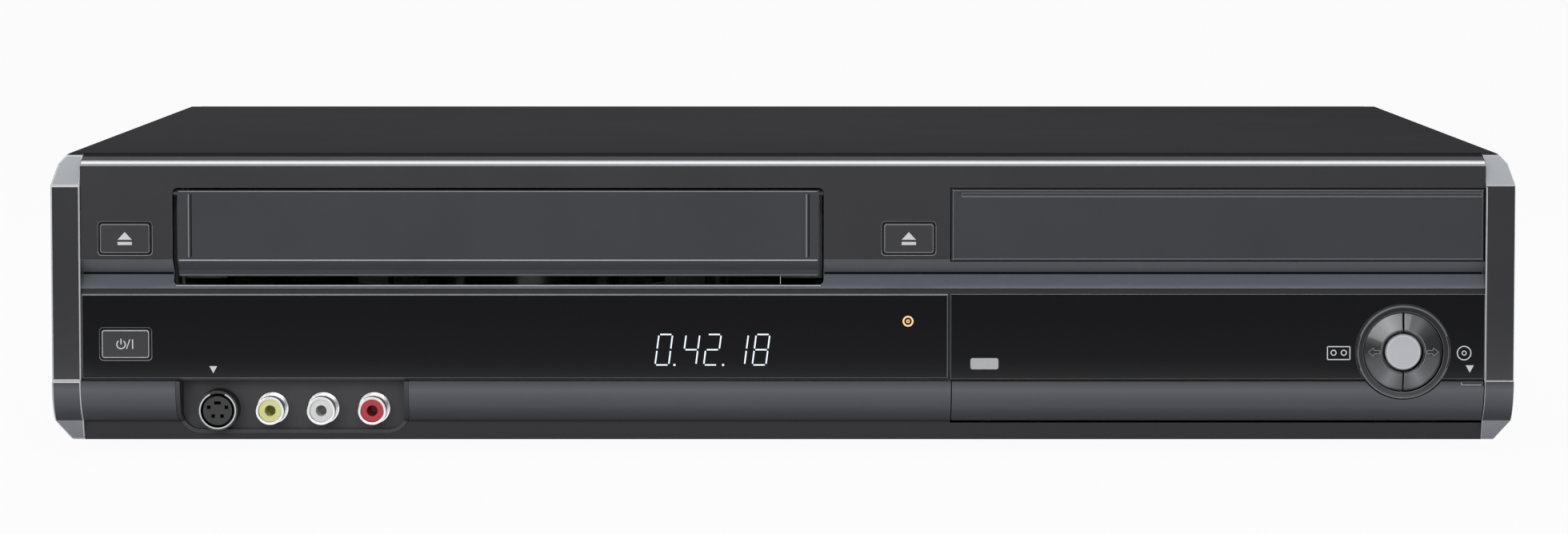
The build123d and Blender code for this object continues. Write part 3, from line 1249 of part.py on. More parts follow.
with BuildPart() as disc_tray:
    with BuildSketch(Plane.XY.offset(tray_low)):
        with Locations((tray_x, (tray_y0 + tray_y1) / 2)):
            Rectangle(TRAY_WIDTH, TRAY_LENGTH)
    extrude(amount=tray_top - tray_low)
    # disc well with a smaller well inside it
    for radius, depth in ((DISC_DIAMETER / 2 + 1.0, tray_top - disc_z), (41.0, tray_top - disc_z + 1.0)):
        with BuildSketch(Plane.XY.offset(tray_top)):
            with Locations((tray_x, disc_y)):
                Circle(radius)
        extrude(amount=-depth, mode=Mode.SUBTRACT)
    # hollow underneath, leaving a floor
    with BuildSketch(Plane.XY.offset(tray_low)):
        with Locations((tray_x + 6.0, (tray_y0 + tray_y1) / 2)):
            Rectangle(TRAY_WIDTH - 18.0, TRAY_LENGTH - 8.0)
    extrude(amount=disc_z - 3.0 - tray_low, mode=Mode.SUBTRACT)
    # slot for the turntable and pickup, open to the back
    with BuildSketch(Plane.XY.offset(tray_low - 1.0)):
        with Locations((tray_x, disc_y)):
            Circle(SLOT_HALF)
        with Locations((tray_x, (disc_y + tray_y1) / 2 + 1.0)):
            Rectangle(2 * SLOT_HALF, tray_y1 - disc_y + 2.0)
    extrude(amount=12.0, mode=Mode.SUBTRACT)
    # guide rails along both sides
    for side in (-1, 1):
        rail_in = TRAY_WIDTH / 2 - 0.5
        rail_x = sorted((tray_x + side * rail_in, tray_x + side * (TRAY_WIDTH / 2 + RAIL_WIDTH)))
        block(*rail_x, tray_y0 + 12.0, tray_y1, RAIL_LOW, RAIL_LOW + 2.0)
    # rack that the loading gear drives
    rack_low = tray_low - GEAR_THICK - 2 * RUN
    rack_count = int((TRAY_TRAVEL + 30.0) / pitch)
    rack_y0 = gear_y - 2.5 * pitch
    block(rack_x - 4.0, rack_x - 1.2, rack_y0 - 2.0, rack_y0 + rack_count * pitch, rack_low, tray_low + 1.0)
    with BuildSketch(Plane.XY.offset(rack_low)):
        with BuildLine():
            for tooth in range(rack_count):
                y = rack_y0 + (tooth + 0.5) * pitch
                Polyline(
                    (rack_x - 1.3, y - TOOTH_HALF - 0.45),
                    (rack_x + 0.8, y - TOOTH_TIP),
                    (rack_x + 0.8, y + TOOTH_TIP),
                    (rack_x - 1.3, y + TOOTH_HALF + 0.45),
                    (rack_x - 1.3, y - TOOTH_HALF - 0.45),
                )
        make_face()
    extrude(amount=tray_low + 1.0 - rack_low)
keep(disc_tray, "disc_tray")

with BuildPart() as loading_gear:
    with BuildSketch(Plane.XY.offset(gear_z1 - GEAR_THICK)):
        with Locations((gear_x, gear_y)):
            Circle(gear_radius - 1.2)
            # half a pitch round from the rack's tooth, so that the two mesh
            with PolarLocations(gear_radius - 0.3, GEAR_TEETH, start_angle=180.0 / GEAR_TEETH + 180.0):
                Trapezoid(2.1, 2.2, 70.0, rotation=-90.0)
            Circle(2.0 + PIN_FIT, mode=Mode.SUBTRACT)
    extrude(amount=GEAR_THICK)
keep(loading_gear, "loading_gear")

pickup_z0 = drive_z0 + 4.0
ROD_RADIUS = 1.5
ROD_OUT = 24.0
rod_z = pickup_z0 + 3.0
pickup_y0 = disc_y + 18.0
PICKUP_LENGTH = 24.0
PICKUP_TRAVEL = 34.0
rod_y0 = pickup_y0 - 6.0
rod_y1 = pickup_y0 + PICKUP_LENGTH + PICKUP_TRAVEL + 6.0

with BuildPart() as drive_frame:
    frame_top = tray_z1 + 0.5
    with BuildSketch(front_plane(drive_y1)):
        with Locations((tray_x, (drive_z0 + frame_top) / 2)):
            Rectangle(2 * DRIVE_HALF, frame_top - drive_z0)
        with Locations((tray_x, (drive_z0 + 2.0 + frame_top + 1.0) / 2)):
            Rectangle(2 * DRIVE_HALF - 4.0, frame_top + 1.0 - drive_z0 - 2.0, mode=Mode.SUBTRACT)
        # upper and lower guide ribs beside the tray's rails
        rib = DRIVE_HALF - TRAY_WIDTH / 2 - 0.8
        for side in (-1, 1):
            rib_x = tray_x + side * (DRIVE_HALF - rib / 2)
            with Locations((rib_x, RAIL_LOW - RUN - 1.0), (rib_x, RAIL_LOW + 2.0 + RUN + 1.0)):
                Rectangle(rib, 2.0)
    extrude(amount=DRIVE_LENGTH)
    # opening in the base under the mechanism
    block(tray_x - 19.0, tray_x + 19.0, disc_y + 16.0, rod_y1 - 4.0,
          drive_z0 - 1.0, drive_z0 + 3.0, Mode.SUBTRACT)
    block(tray_x + 34.0, tray_x + 58.0, drive_y0 + 30.0, drive_y1 - 30.0, drive_z0 - 1.0, drive_z0 + 3.0,
          Mode.SUBTRACT)
    # spindle motor, rod brackets and the loading gear's post
    post(tray_x, disc_y, 11.0, drive_z0 + 1.0, drive_z0 + 8.0)
    post(tray_x, disc_y, 1.5, drive_z0 + 7.0, disc_z - 2.0)
    for side in (-1, 1):
        for y in (rod_y0, rod_y1 - 4.0):
            rod_x = tray_x + side * ROD_OUT
            block(rod_x - 3.0, rod_x + 3.0, y, y + 4.0, drive_z0 + 1.0, rod_z + 2.6)
    for side in (-1, 1):
        bore(tray_x + side * ROD_OUT, rod_z, ROD_RADIUS, rod_y0 - 1.0, rod_y1 + 1.0)
    post(gear_x, gear_y, 4.0, drive_z0 + 1.0, gear_z1 - GEAR_THICK - RUN)
    post(gear_x, gear_y, 2.0, drive_z0 + 1.0, gear_z1)
keep(drive_frame, "drive_frame")

with BuildPart() as turntable:
    post(tray_x, disc_y, 15.0, disc_z - 3.0, disc_z)
    with BuildSketch(Plane.XY.offset(disc_z)):
        with Locations((tray_x, disc_y)):
            Circle(7.4)
    extrude(amount=2.6, taper=12.0)
    post(tray_x, disc_y, 3.5, drive_z0 + 8.0 + RUN, disc_z)
    post(tray_x, disc_y, 1.5 + PIN_FIT, drive_z0 + 8.0, disc_z - 1.8, Mode.SUBTRACT)
keep(turntable, "turntable")

with BuildPart() as pickup_rods:
    for side in (-1, 1):
        bore(tray_x + side * ROD_OUT, rod_z, ROD_RADIUS, rod_y0, rod_y1, Mode.ADD)
keep(pickup_rods, "pickup_rods")

with BuildPart() as pickup:
    block(tray_x - ROD_OUT - 3.5, tray_x + ROD_OUT + 3.5, pickup_y0, pickup_y0 + PICKUP_LENGTH, pickup_z0,
          rod_z + 3.0)
    block(tray_x - 12.0, tray_x + 12.0, pickup_y0 + 2.0, pickup_y0 + PICKUP_LENGTH - 2.0, rod_z, disc_z - 3.5)
    post(tray_x, pickup_y0 + 8.0, 3.5, disc_z - 4.0, disc_z - 2.2)
    for side in (-1, 1):
        bore(tray_x + side * ROD_OUT, rod_z, ROD_RADIUS + PIN_FIT,
             pickup_y0 - 1.0, pickup_y0 + PICKUP_LENGTH + 1.0)
keep(pickup, "pickup")

bridge_z = tray_z1 + 0.5
with BuildPart() as clamp_bridge:
    with BuildSketch(Plane.XY.offset(bridge_z)):
        with Locations((tray_x, disc_y)):
            Rectangle(2 * DRIVE_HALF, 30.0)
            Circle(19.0)
            Circle(9.0, mode=Mode.SUBTRACT)
    extrude(amount=1.2)
keep(clamp_bridge, "clamp_bridge")

with BuildPart() as clamp_puck:
    post(tray_x, disc_y, 12.0, bridge_z + 1.2 + RUN, bridge_z + 3.2)
    post(tray_x, disc_y, 8.7, bridge_z - 1.0, bridge_z + 2.0)
    post(tray_x, disc_y, 13.0, tray_top + 5.4, bridge_z - RUN)
keep(clamp_puck, "clamp_puck")
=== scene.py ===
import json
import math

import bmesh
import bpy
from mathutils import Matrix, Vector


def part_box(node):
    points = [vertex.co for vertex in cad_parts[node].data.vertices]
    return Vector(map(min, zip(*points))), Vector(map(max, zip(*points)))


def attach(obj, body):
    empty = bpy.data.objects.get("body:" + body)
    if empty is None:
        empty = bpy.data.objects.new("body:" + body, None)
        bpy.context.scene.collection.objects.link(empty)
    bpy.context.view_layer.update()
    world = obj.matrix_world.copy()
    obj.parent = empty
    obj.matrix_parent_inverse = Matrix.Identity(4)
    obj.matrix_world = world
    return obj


# The disc and cassette player: finishes, printed symbols, display digits and studio.

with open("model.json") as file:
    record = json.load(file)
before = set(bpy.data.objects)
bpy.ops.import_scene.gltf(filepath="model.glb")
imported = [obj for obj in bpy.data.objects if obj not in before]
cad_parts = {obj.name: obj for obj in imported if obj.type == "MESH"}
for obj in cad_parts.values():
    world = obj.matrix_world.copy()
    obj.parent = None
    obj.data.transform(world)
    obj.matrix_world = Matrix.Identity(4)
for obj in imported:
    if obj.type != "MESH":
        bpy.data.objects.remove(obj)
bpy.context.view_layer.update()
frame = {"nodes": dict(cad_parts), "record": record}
NODES = frame["nodes"]
MM = 0.001


# ---- Materials -------------------------------------------------------------------------

BROAD_SCALE = 28.0              # noise cells per metre: blotches about 36 mm wide
WORN_FROM, WORN_TO = 0.52, 0.62  # pointiness where an edge starts to wear, and where it is worn through
GLOSS_SPREAD = 0.12             # how far the roughness varies, as a share either way
GRAIN_DEPTH = 0.0002            # metres


def add_node(tree, kind, **values):
    """A shader node with its properties or inputs set by name."""
    node = tree.nodes.new(kind)
    for key, value in values.items():
        if key in node.inputs:
            node.inputs[key].default_value = value
        else:
            setattr(node, key, value)
    return node


def surface(name, colour, rough=0.4, metal=0.0, specular=0.5, coat=0.0, coat_rough=0.05,
            grain=None, grain_size=900.0, blotch=0.08, stretch=(1, 1, 1), wear=0.0, emit=0.0):
    """A procedural finish: colour with slight blotches, worn edges, uneven gloss and a fine grain bump."""
    made = bpy.data.materials.new(name)
    made.use_nodes = True
    tree = made.node_tree
    shader = tree.nodes["Principled BSDF"]
    shader.inputs["Metallic"].default_value = metal
    shader.inputs["Specular IOR Level"].default_value = specular
    shader.inputs["Coat Weight"].default_value = coat
    shader.inputs["Coat Roughness"].default_value = coat_rough
    place = tree.nodes.new("ShaderNodeTexCoord")
    scaled = add_node(tree, "ShaderNodeMapping", Scale=stretch)
    tree.links.new(place.outputs["Object"], scaled.inputs["Vector"])
    broad = add_node(tree, "ShaderNodeTexNoise", Scale=BROAD_SCALE, Detail=4.0, Roughness=0.6)
    tree.links.new(scaled.outputs["Vector"], broad.inputs["Vector"])
    # colour: two close tones mixed by the broad noise
    mix = add_node(tree, "ShaderNodeMix", data_type="RGBA")
    low = [c * (1 - blotch) for c in colour]
    high = [min(1.0, c * (1 + blotch)) for c in colour]
    mix.inputs["A"].default_value = (*low, 1)
    mix.inputs["B"].default_value = (*high, 1)
    tree.links.new(broad.outputs["Fac"], mix.inputs["Factor"])
    out = mix.outputs["Result"]
    if wear:
        geometry = tree.nodes.new("ShaderNodeNewGeometry")
        edge = add_node(tree, "ShaderNodeMapRange")
        edge.inputs["From Min"].default_value = WORN_FROM
        edge.inputs["From Max"].default_value = WORN_TO
        edge.inputs["To Max"].default_value = wear
        tree.links.new(geometry.outputs["Pointiness"], edge.inputs["Value"])
        worn = add_node(tree, "ShaderNodeMix", data_type="RGBA")
        worn.inputs["B"].default_value = (*[min(1.0, c * 2.2 + 0.02) for c in colour], 1)
        tree.links.new(edge.outputs["Result"], worn.inputs["Factor"])
        tree.links.new(out, worn.inputs["A"])
        out = worn.outputs["Result"]
    tree.links.new(out, shader.inputs["Base Color"])
    gloss = add_node(tree, "ShaderNodeMapRange")
    gloss.inputs["To Min"].default_value = max(0.02, rough * (1 - GLOSS_SPREAD))
    gloss.inputs["To Max"].default_value = min(1.0, rough * (1 + GLOSS_SPREAD))
    tree.links.new(broad.outputs["Fac"], gloss.inputs["Value"])
    tree.links.new(gloss.outputs["Result"], shader.inputs["Roughness"])
    if grain:
        fine = add_node(tree, "ShaderNodeTexNoise", Scale=grain_size, Detail=2.0)
        tree.links.new(scaled.outputs["Vector"], fine.inputs["Vector"])
        bump = add_node(tree, "ShaderNodeBump", Strength=grain, Distance=GRAIN_DEPTH)
        tree.links.new(fine.outputs["Fac"], bump.inputs["Height"])
        tree.links.new(bump.outputs["Normal"], shader.inputs["Normal"])
    if emit:
        shader.inputs["Emission Color"].default_value = (*colour, 1)
        shader.inputs["Emission Strength"].default_value = emit
    return made


FINISH = {
    "cover_paint": surface("cover_paint", (0.031, 0.029, 0.032), 0.8, specular=0.05, grain=0.3,
                           grain_size=1400.0, wear=0.2),
    "chassis_steel": surface("chassis_steel", (0.30, 0.31, 0.32), 0.42, metal=0.9, grain=0.1,
                             stretch=(1, 12, 1)),
    "fascia_plastic": surface("fascia_plastic", (0.0235, 0.0225, 0.0275), 0.30, specular=0.5, grain=0.05,
                              grain_size=1600.0),
    "cap_plastic": surface("cap_plastic", (0.028, 0.028, 0.032), 0.22, specular=0.6, coat=0.5, grain=0.03),
    "window_plastic": surface("window_plastic", (0.0035, 0.0035, 0.0045), 0.06, specular=0.5, blotch=0.02),
    "flap_plastic": surface("flap_plastic", (0.033, 0.035, 0.041), 0.32, specular=0.5, grain=0.05,
                            grain_size=1600.0),
    # the lower strip's light colour is a painted reflection; a ramp below adds painted shade
    "strip_plastic": surface("strip_plastic", (0.092, 0.099, 0.114), 0.3, specular=0.5, coat=0.2, grain=0.02,
                             grain_size=1600.0),
    # the band's lighter blue-grey is a painted reflection on a face that tilts up
    "band_plastic": surface("band_plastic", (0.185, 0.197, 0.228), 0.30, specular=0.5, grain=0.04),
    "plinth_plastic": surface("plinth_plastic", (0.030, 0.030, 0.034), 0.5, specular=0.3, grain=0.06),
    "key_plastic": surface("key_plastic", (0.036, 0.035, 0.040), 0.3, specular=0.5, grain=0.05),
    "dial_plastic": surface("dial_plastic", (0.010, 0.010, 0.012), 0.16, specular=0.7, coat=0.6),
    "centre_key_plastic": surface("centre_key_plastic", (0.62, 0.63, 0.66), 0.34, metal=0.15, grain=0.04),
    "recess_plastic": surface("recess_plastic", (0.055, 0.055, 0.062), 0.45, specular=0.4, grain=0.1),
    "socket_metal": surface("socket_metal", (0.80, 0.79, 0.78), 0.16, metal=1.0, blotch=0.04),
    "yellow_plastic": surface("yellow_plastic", (0.97, 0.96, 0.42), 0.3, blotch=0.04),
    "white_plastic": surface("white_plastic", (0.98, 0.98, 0.97), 0.3, blotch=0.03),
    "red_plastic": surface("red_plastic", (0.66, 0.035, 0.06), 0.3, blotch=0.06),
    "black_plastic": surface("black_plastic", (0.018, 0.018, 0.019), 0.42, grain=0.1),
    "mechanism_steel": surface("mechanism_steel", (0.40, 0.40, 0.41), 0.34, metal=1.0, grain=0.08,
                               stretch=(10, 1, 1)),
    "drum_aluminium": surface("drum_aluminium", (0.72, 0.73, 0.75), 0.2, metal=1.0, stretch=(1, 1, 20)),
    "mechanism_plastic": surface("mechanism_plastic", (0.030, 0.030, 0.032), 0.48, grain=0.12),
    "reel_plastic": surface("reel_plastic", (0.62, 0.62, 0.58), 0.45, grain=0.08),
    "roller_rubber": surface("roller_rubber", (0.016, 0.016, 0.016), 0.75, grain=0.2),
    "foot_rubber": surface("foot_rubber", (0.020, 0.020, 0.020), 0.8, grain=0.3),
    "board_laminate": surface("board_laminate", (0.030, 0.16, 0.055), 0.4, grain=0.15, blotch=0.25),
    "display_glass": surface("display_glass", (0.012, 0.014, 0.014), 0.08, coat=0.5),
    "screw_steel": surface("screw_steel", (0.10, 0.10, 0.10), 0.35, metal=1.0, grain=0.1),
}
# prints, and the painted highlights, sheen and shade of edges, slopes and grooves, that have no material slot
# of their own in the record
print_and_highlight_white = surface("print_and_highlight_white", (0.86, 0.87, 0.89), 0.5, blotch=0.03)
# painted highlight on the display window's top edge
window_rim_highlight = surface("window_rim_highlight", (0.50, 0.51, 0.53), 0.25, metal=0.3, blotch=0.05)
# a painted highlight for eased front edges
edge_sheen = surface("edge_sheen", (0.16, 0.165, 0.175), 0.25, specular=0.8, blotch=0.05)
# a grey for painted highlights on edges and slopes, also used for the dial's arrow prints
highlight_and_print_grey = surface("highlight_and_print_grey", (0.30, 0.305, 0.315), 0.3, specular=0.8, blotch=0.03)
# near-white painted highlight for the bezel's top rim and the slot's lower edge
white_highlight = surface("white_highlight", (0.92, 0.92, 0.95), 0.3, metal=0.2, blotch=0.02)
# pale painted highlight for the end caps' eased edges and fine edge lines
pale_highlight = surface("pale_highlight", (0.74, 0.745, 0.76), 0.3, specular=0.8, blotch=0.04)
# painted sheen on the bezel's slope above the V groove
slope_sheen = surface("slope_sheen", (0.160, 0.166, 0.182), 0.3, specular=0.6, grain=0.04, blotch=0.04)
# painted sheen on the cassette flap's lower fold
flap_slope_sheen = surface("flap_slope_sheen", (0.100, 0.103, 0.113), 0.3, specular=0.6, grain=0.04, blotch=0.04)
# black for the dark joints round keys and for painted shade in grooves
joint_and_shade_black = surface("joint_and_shade_black", (0.004, 0.004, 0.005), 0.6, specular=0.2, blotch=0.02)
# painted reflection on the end caps' top and foot slopes
cap_sheen = surface("cap_sheen", (0.37, 0.385, 0.41), 0.25, metal=0.3, coat=0.4, blotch=0.04)
digit_glow = surface("digit_glow", (0.80, 0.88, 0.95), 0.4, emit=0.55, blotch=0.02)
amber_glow = surface("amber_glow", (0.90, 0.58, 0.27), 0.4, emit=0.6, blotch=0.02)
plate_grey = surface("plate_grey", (0.60, 0.61, 0.62), 0.4, blotch=0.04)


def tint(made, source, stops):
    """Multiply a finish's colour by a ramp over a value that the source builds in its node tree."""
    tree = made.node_tree
    shader = tree.nodes["Principled BSDF"]
    before = shader.inputs["Base Color"].links[0].from_socket
    ramp = tree.nodes.new("ShaderNodeValToRGB")
    first, last = ramp.color_ramp.elements
    first.position, last.position = stops[0][0], stops[-1][0]
    first.color, last.color = (*[stops[0][1]] * 3, 1), (*[stops[-1][1]] * 3, 1)
    for where, level in stops[1:-1]:
        ramp.color_ramp.elements.new(where).color = (level, level, level, 1)
    tree.links.new(source(tree), ramp.inputs["Fac"])
    product = add_node(tree, "ShaderNodeMix", data_type="RGBA", blend_type="MULTIPLY")
    product.inputs["Factor"].default_value = 1.0
    tree.links.new(before, product.inputs["A"])
    tree.links.new(ramp.outputs["Color"], product.inputs["B"])
    tree.links.new(product.outputs["Result"], shader.inputs["Base Color"])


def height_between(low, high):
    """Height on the object as a share of the way from low to high, in millimetres."""
    def build(tree):
        place = tree.nodes.new("ShaderNodeTexCoord")
        apart = tree.nodes.new("ShaderNodeSeparateXYZ")
        share = add_node(tree, "ShaderNodeMapRange")
        share.inputs["From Min"].default_value, share.inputs["From Max"].default_value = low * MM, high * MM
        tree.links.new(place.outputs["Object"], apart.inputs[0])
        tree.links.new(apart.outputs["Z"], share.inputs["Value"])
        return share.outputs["Result"]
    return build


def painted_highlight_angle(x, z):
    """How upright the direction from the centre (x, z) is: 1 above and below it, 0 beside it."""
    def build(tree):
        place = tree.nodes.new("ShaderNodeTexCoord")
        moved = add_node(tree, "ShaderNodeVectorMath", operation="SUBTRACT")
        moved.inputs[1].default_value = (x * MM, 0, z * MM)
        flat = add_node(tree, "ShaderNodeVectorMath", operation="MULTIPLY")
        flat.inputs[1].default_value = (1, 0, 1)
        unit = add_node(tree, "ShaderNodeVectorMath", operation="NORMALIZE")
        apart = tree.nodes.new("ShaderNodeSeparateXYZ")
        size = add_node(tree, "ShaderNodeMath", operation="ABSOLUTE")
        tree.links.new(place.outputs["Object"], moved.inputs[0])
        tree.links.new(moved.outputs[0], flat.inputs[0])
        tree.links.new(flat.outputs[0], unit.inputs[0])
        tree.links.new(unit.outputs[0], apart.inputs[0])
        tree.links.new(apart.outputs["Z"], size.inputs[0])
        return size.outputs[0]
    return build


# Both ramps imitate the photograph's highlights by place on the object.
STRIP_Z = (9.1, 21.4)                   # foot and top of the lower strip, in mm
STRIP_BOTTOM, STRIP_TOP = 9.15, 21.35   # faces centred between these belong to it
# painted reflection across the strip's middle, painted shade darker towards its top and foot
tint(FINISH["strip_plastic"], height_between(*STRIP_Z),
     ((0.0, 0.55), (0.18, 0.7), (0.4, 1.0), (0.78, 1.0), (0.9, 0.6), (1.0, 0.3)))
DIAL_X, DIAL_Z = 182.4, 29.9            # centre of the dial, in mm
# painted highlights on the dial's half rings, lighter above and below its centre
half_ring_highlight = surface("half_ring_highlight", (0.11, 0.113, 0.12), 0.2, specular=0.6, coat=0.6)
tint(half_ring_highlight, painted_highlight_angle(DIAL_X, DIAL_Z),
     ((0.0, 0.12), (0.45, 0.16), (0.72, 0.6), (0.88, 1.7), (0.95, 1.2), (1.0, 0.4)))

# ---- Finish and eased edges of the CAD pieces ---------------------------------------------

FINISH_OF = {row["node"]: row["material_slot"] for row in frame["record"]["subparts"]}
EASED = 0.12                    # width of an eased edge in mm where BEVEL names no other
EASED_FROM = math.radians(38)   # the least angle between faces that is eased
CREASE = math.radians(32)       # the least angle that stays a crease
FLAT = math.radians(0.3)        # facets nearer to one plane than this are joined
WELD_GAP = 1e-6                 # metres
BEVEL = {
    "front_bezel": 0.30, "left_end_cap": 0.45, "right_end_cap": 0.45, "display_window": 0.12,
    "dial_window": 0.15, "cassette_flap": 0.25, "tray_front": 0.15, "control_flap": 0.25,
    "jack_panel": 0.25, "top_cover": 0.25, "eject_button": 0.0, "case_screws": 0.5,
    "rear_panel": 0.15, "mains_inlet": 0.3, "rear_socket_blocks": 0.3, "feet": 0.8,
}
# front pieces whose eased edges get a painted highlight, lighter than their faces
SHEEN = {name: edge_sheen for name in (
    "front_bezel", "left_end_cap", "right_end_cap", "cassette_flap", "tray_front", "control_flap",
    "display_window", "dial_window", "jack_panel", "power_button", "eject_button", "tray_button",
    "dial_surround", "copy_left_button", "copy_right_button")}
# the end caps' eased edges get the pale painted highlight
SHEEN["left_end_cap"] = SHEEN["right_end_cap"] = pale_highlight


def repaint(name, finish, test):
    """Give the faces of one node that pass the test (centre in mm, normal) another finish."""
    mesh = NODES[name].data
    mesh.materials.append(finish)
    index = len(mesh.materials) - 1
    for polygon in mesh.polygons:
        if test(polygon.center / MM, polygon.normal):
            polygon.material_index = index


def dress(name, obj):
    """Give a carried-over CAD piece its finish and eased edges; its own mesh stays as it is."""
    slot = FINISH_OF[name]
    obj.data.materials.clear()
    obj.data.materials.append(FINISH[slot])
    if "custom_normal" in obj.data.attributes:
        obj.data.attributes.remove(obj.data.attributes["custom_normal"])
    for polygon in obj.data.polygons:
        polygon.use_smooth = True
    weld = obj.modifiers.new("weld", "WELD")
    weld.merge_threshold = WELD_GAP
    flat = obj.modifiers.new("flat", "DECIMATE")
    flat.decimate_type = "DISSOLVE"
    flat.angle_limit = FLAT
    width = BEVEL.get(name, EASED)
    if width:
        # front pieces named in SHEEN get a painted highlight on their eased edges
        obj.data.materials.append(SHEEN.get(name, FINISH[slot]))
        bevel = obj.modifiers.new("bevel", "BEVEL")
        bevel.material = 1
        bevel.width = width * MM
        bevel.segments = 2
        bevel.limit_method = "ANGLE"
        bevel.angle_limit = EASED_FROM
        bevel.use_clamp_overlap = True
    split = obj.modifiers.new("split", "EDGE_SPLIT")
    split.split_angle = CREASE
    if width:
        even = obj.modifiers.new("even", "WEIGHTED_NORMAL")
        even.keep_sharp = True


for node_name, node_object in NODES.items():
    dress(node_name, node_object)


# Heights and depths in mm that tell the faces of a moulding apart.
RIM_FOOT = 84.4                     # the bezel's polished top slope starts here; it gets a painted highlight
BAND_FOOT, BAND_TOP = 48.3, 53.2    # band under the V groove
SLOPE_FOOT, SLOPE_TOP = 53.0, 57.2  # slope above the V groove
FOLD_TOP = 60.0                     # the cassette flap's lower slope lies below this
WINDOW_RIM = 46.5                   # top edge of the display window
SHOULDER = 78.5                     # the end caps' top slope starts here
RIM_Y, SKIN_Y, CAP_Y = -170.0, -168.0, -160.0   # faces further to the front than these

# the dial's half rings take their painted highlights
for half in ("copy_left_button", "copy_right_button"):
    repaint(half, half_ring_highlight, lambda c, n: n.y < -0.5)
# the bezel's top slope gets a painted highlight
repaint("front_bezel", highlight_and_print_grey,
        lambda c, n: c.z > RIM_FOOT and n.y < -0.3 and n.z > 0.5 and c.y < RIM_Y)
# the band under the V groove gets a painted reflection
repaint("front_bezel", FINISH["band_plastic"],
        lambda c, n: BAND_FOOT < c.z < BAND_TOP and n.z > 0.4 and n.y < -0.3)
# the slope above the V groove gets a painted sheen
repaint("front_bezel", slope_sheen,
        lambda c, n: SLOPE_FOOT < c.z < SLOPE_TOP and n.z < -0.4 and n.y < -0.3)
# the cassette flap's lower fold gets a painted sheen
repaint("cassette_flap", flap_slope_sheen,
        lambda c, n: c.z < FOLD_TOP and n.z < -0.3 and n.y < -0.2 and c.y < SKIN_Y)
# the lower strip's faces take its colour, with its painted reflection and shade
repaint("front_bezel", FINISH["strip_plastic"],
        lambda c, n: STRIP_BOTTOM < c.z < STRIP_TOP and c.y < SKIN_Y and n.y < -0.15)
repaint("front_bezel", FINISH["plinth_plastic"], lambda c, n: c.z <= STRIP_BOTTOM)
# the drop-down flap takes the strip's painted reflection and shade all over
repaint("control_flap", FINISH["strip_plastic"], lambda c, n: True)
# the display window's top edge gets a painted highlight
repaint("display_window", window_rim_highlight, lambda c, n: c.z > WINDOW_RIM and n.z > 0.4)
# the end caps' top and foot slopes get a painted reflection, and their strip faces the strip's painted
# reflection and shade
for cap in ("left_end_cap", "right_end_cap"):
    repaint(cap, cap_sheen, lambda c, n: c.z > SHOULDER and n.z > 0.3 and c.y < CAP_Y)
    repaint(cap, FINISH["strip_plastic"], lambda c, n: STRIP_BOTTOM < c.z < STRIP_TOP and n.y < -0.15)
    repaint(cap, cap_sheen, lambda c, n: c.z < STRIP_BOTTOM and n.z < -0.25 and c.y < CAP_Y)

# ---- Flat prints and symbols ------------------------------------------------------------

PRINT = 0.05        # how far a print stands off its face, in mm
LINE = 0.03         # and a fine line on an edge


def strokes(name, outlines, y, depth, finish, body):
    """Thin raised print on the front: closed outlines in (x, z) millimetres, at depth y."""
    mesh = bpy.data.meshes.new(name)
    work = bmesh.new()
    for outline in outlines:
        front = [work.verts.new((x * MM, (y - depth) * MM, z * MM)) for x, z in outline]
        back = [work.verts.new((x * MM, y * MM, z * MM)) for x, z in outline]
        work.faces.new(front)
        work.faces.new(list(reversed(back)))
        count = len(outline)
        for i in range(count):
            j = (i + 1) % count
            work.faces.new((front[j], front[i], back[i], back[j]))
    bmesh.ops.recalc_face_normals(work, faces=work.faces)
    work.to_mesh(mesh)
    work.free()
    obj = bpy.data.objects.new(name, mesh)
    bpy.context.scene.collection.objects.link(obj)
    mesh.materials.append(finish)
    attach(obj, body)
    return obj


def bar(x0, z0, x1, z1, width):
    """A straight stroke between two points."""
    dx, dz = x1 - x0, z1 - z0
    length = math.hypot(dx, dz)
    nx, nz = -dz / length * width / 2, dx / length * width / 2
    return [(x0 + nx, z0 + nz), (x1 + nx, z1 + nz), (x1 - nx, z1 - nz), (x0 - nx, z0 - nz)]


def arc(x, z, radius, start, end, width, steps=24):
    """A run of short strokes along a circle, as one ring segment."""
    inner, outer = [], []
    for i in range(steps + 1):
        a = math.radians(start + (end - start) * i / steps)
        inner.append((x + (radius - width / 2) * math.cos(a), z + (radius - width / 2) * math.sin(a)))
        outer.append((x + (radius + width / 2) * math.cos(a), z + (radius + width / 2) * math.sin(a)))
    return [[inner[i], inner[i + 1], outer[i + 1], outer[i]] for i in range(steps)]


def centre_of(node):
    """Middle of a node's box, in mm."""
    low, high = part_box(node)
    return [(a + b) / 2 / MM for a, b in zip(low, high)]


def low_of(node):
    """Lowest corner of a node's box, in mm."""
    return [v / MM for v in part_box(node)[0]]


def high_of(node):
    """Highest corner of a node's box, in mm."""
    return [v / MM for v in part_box(node)[1]]


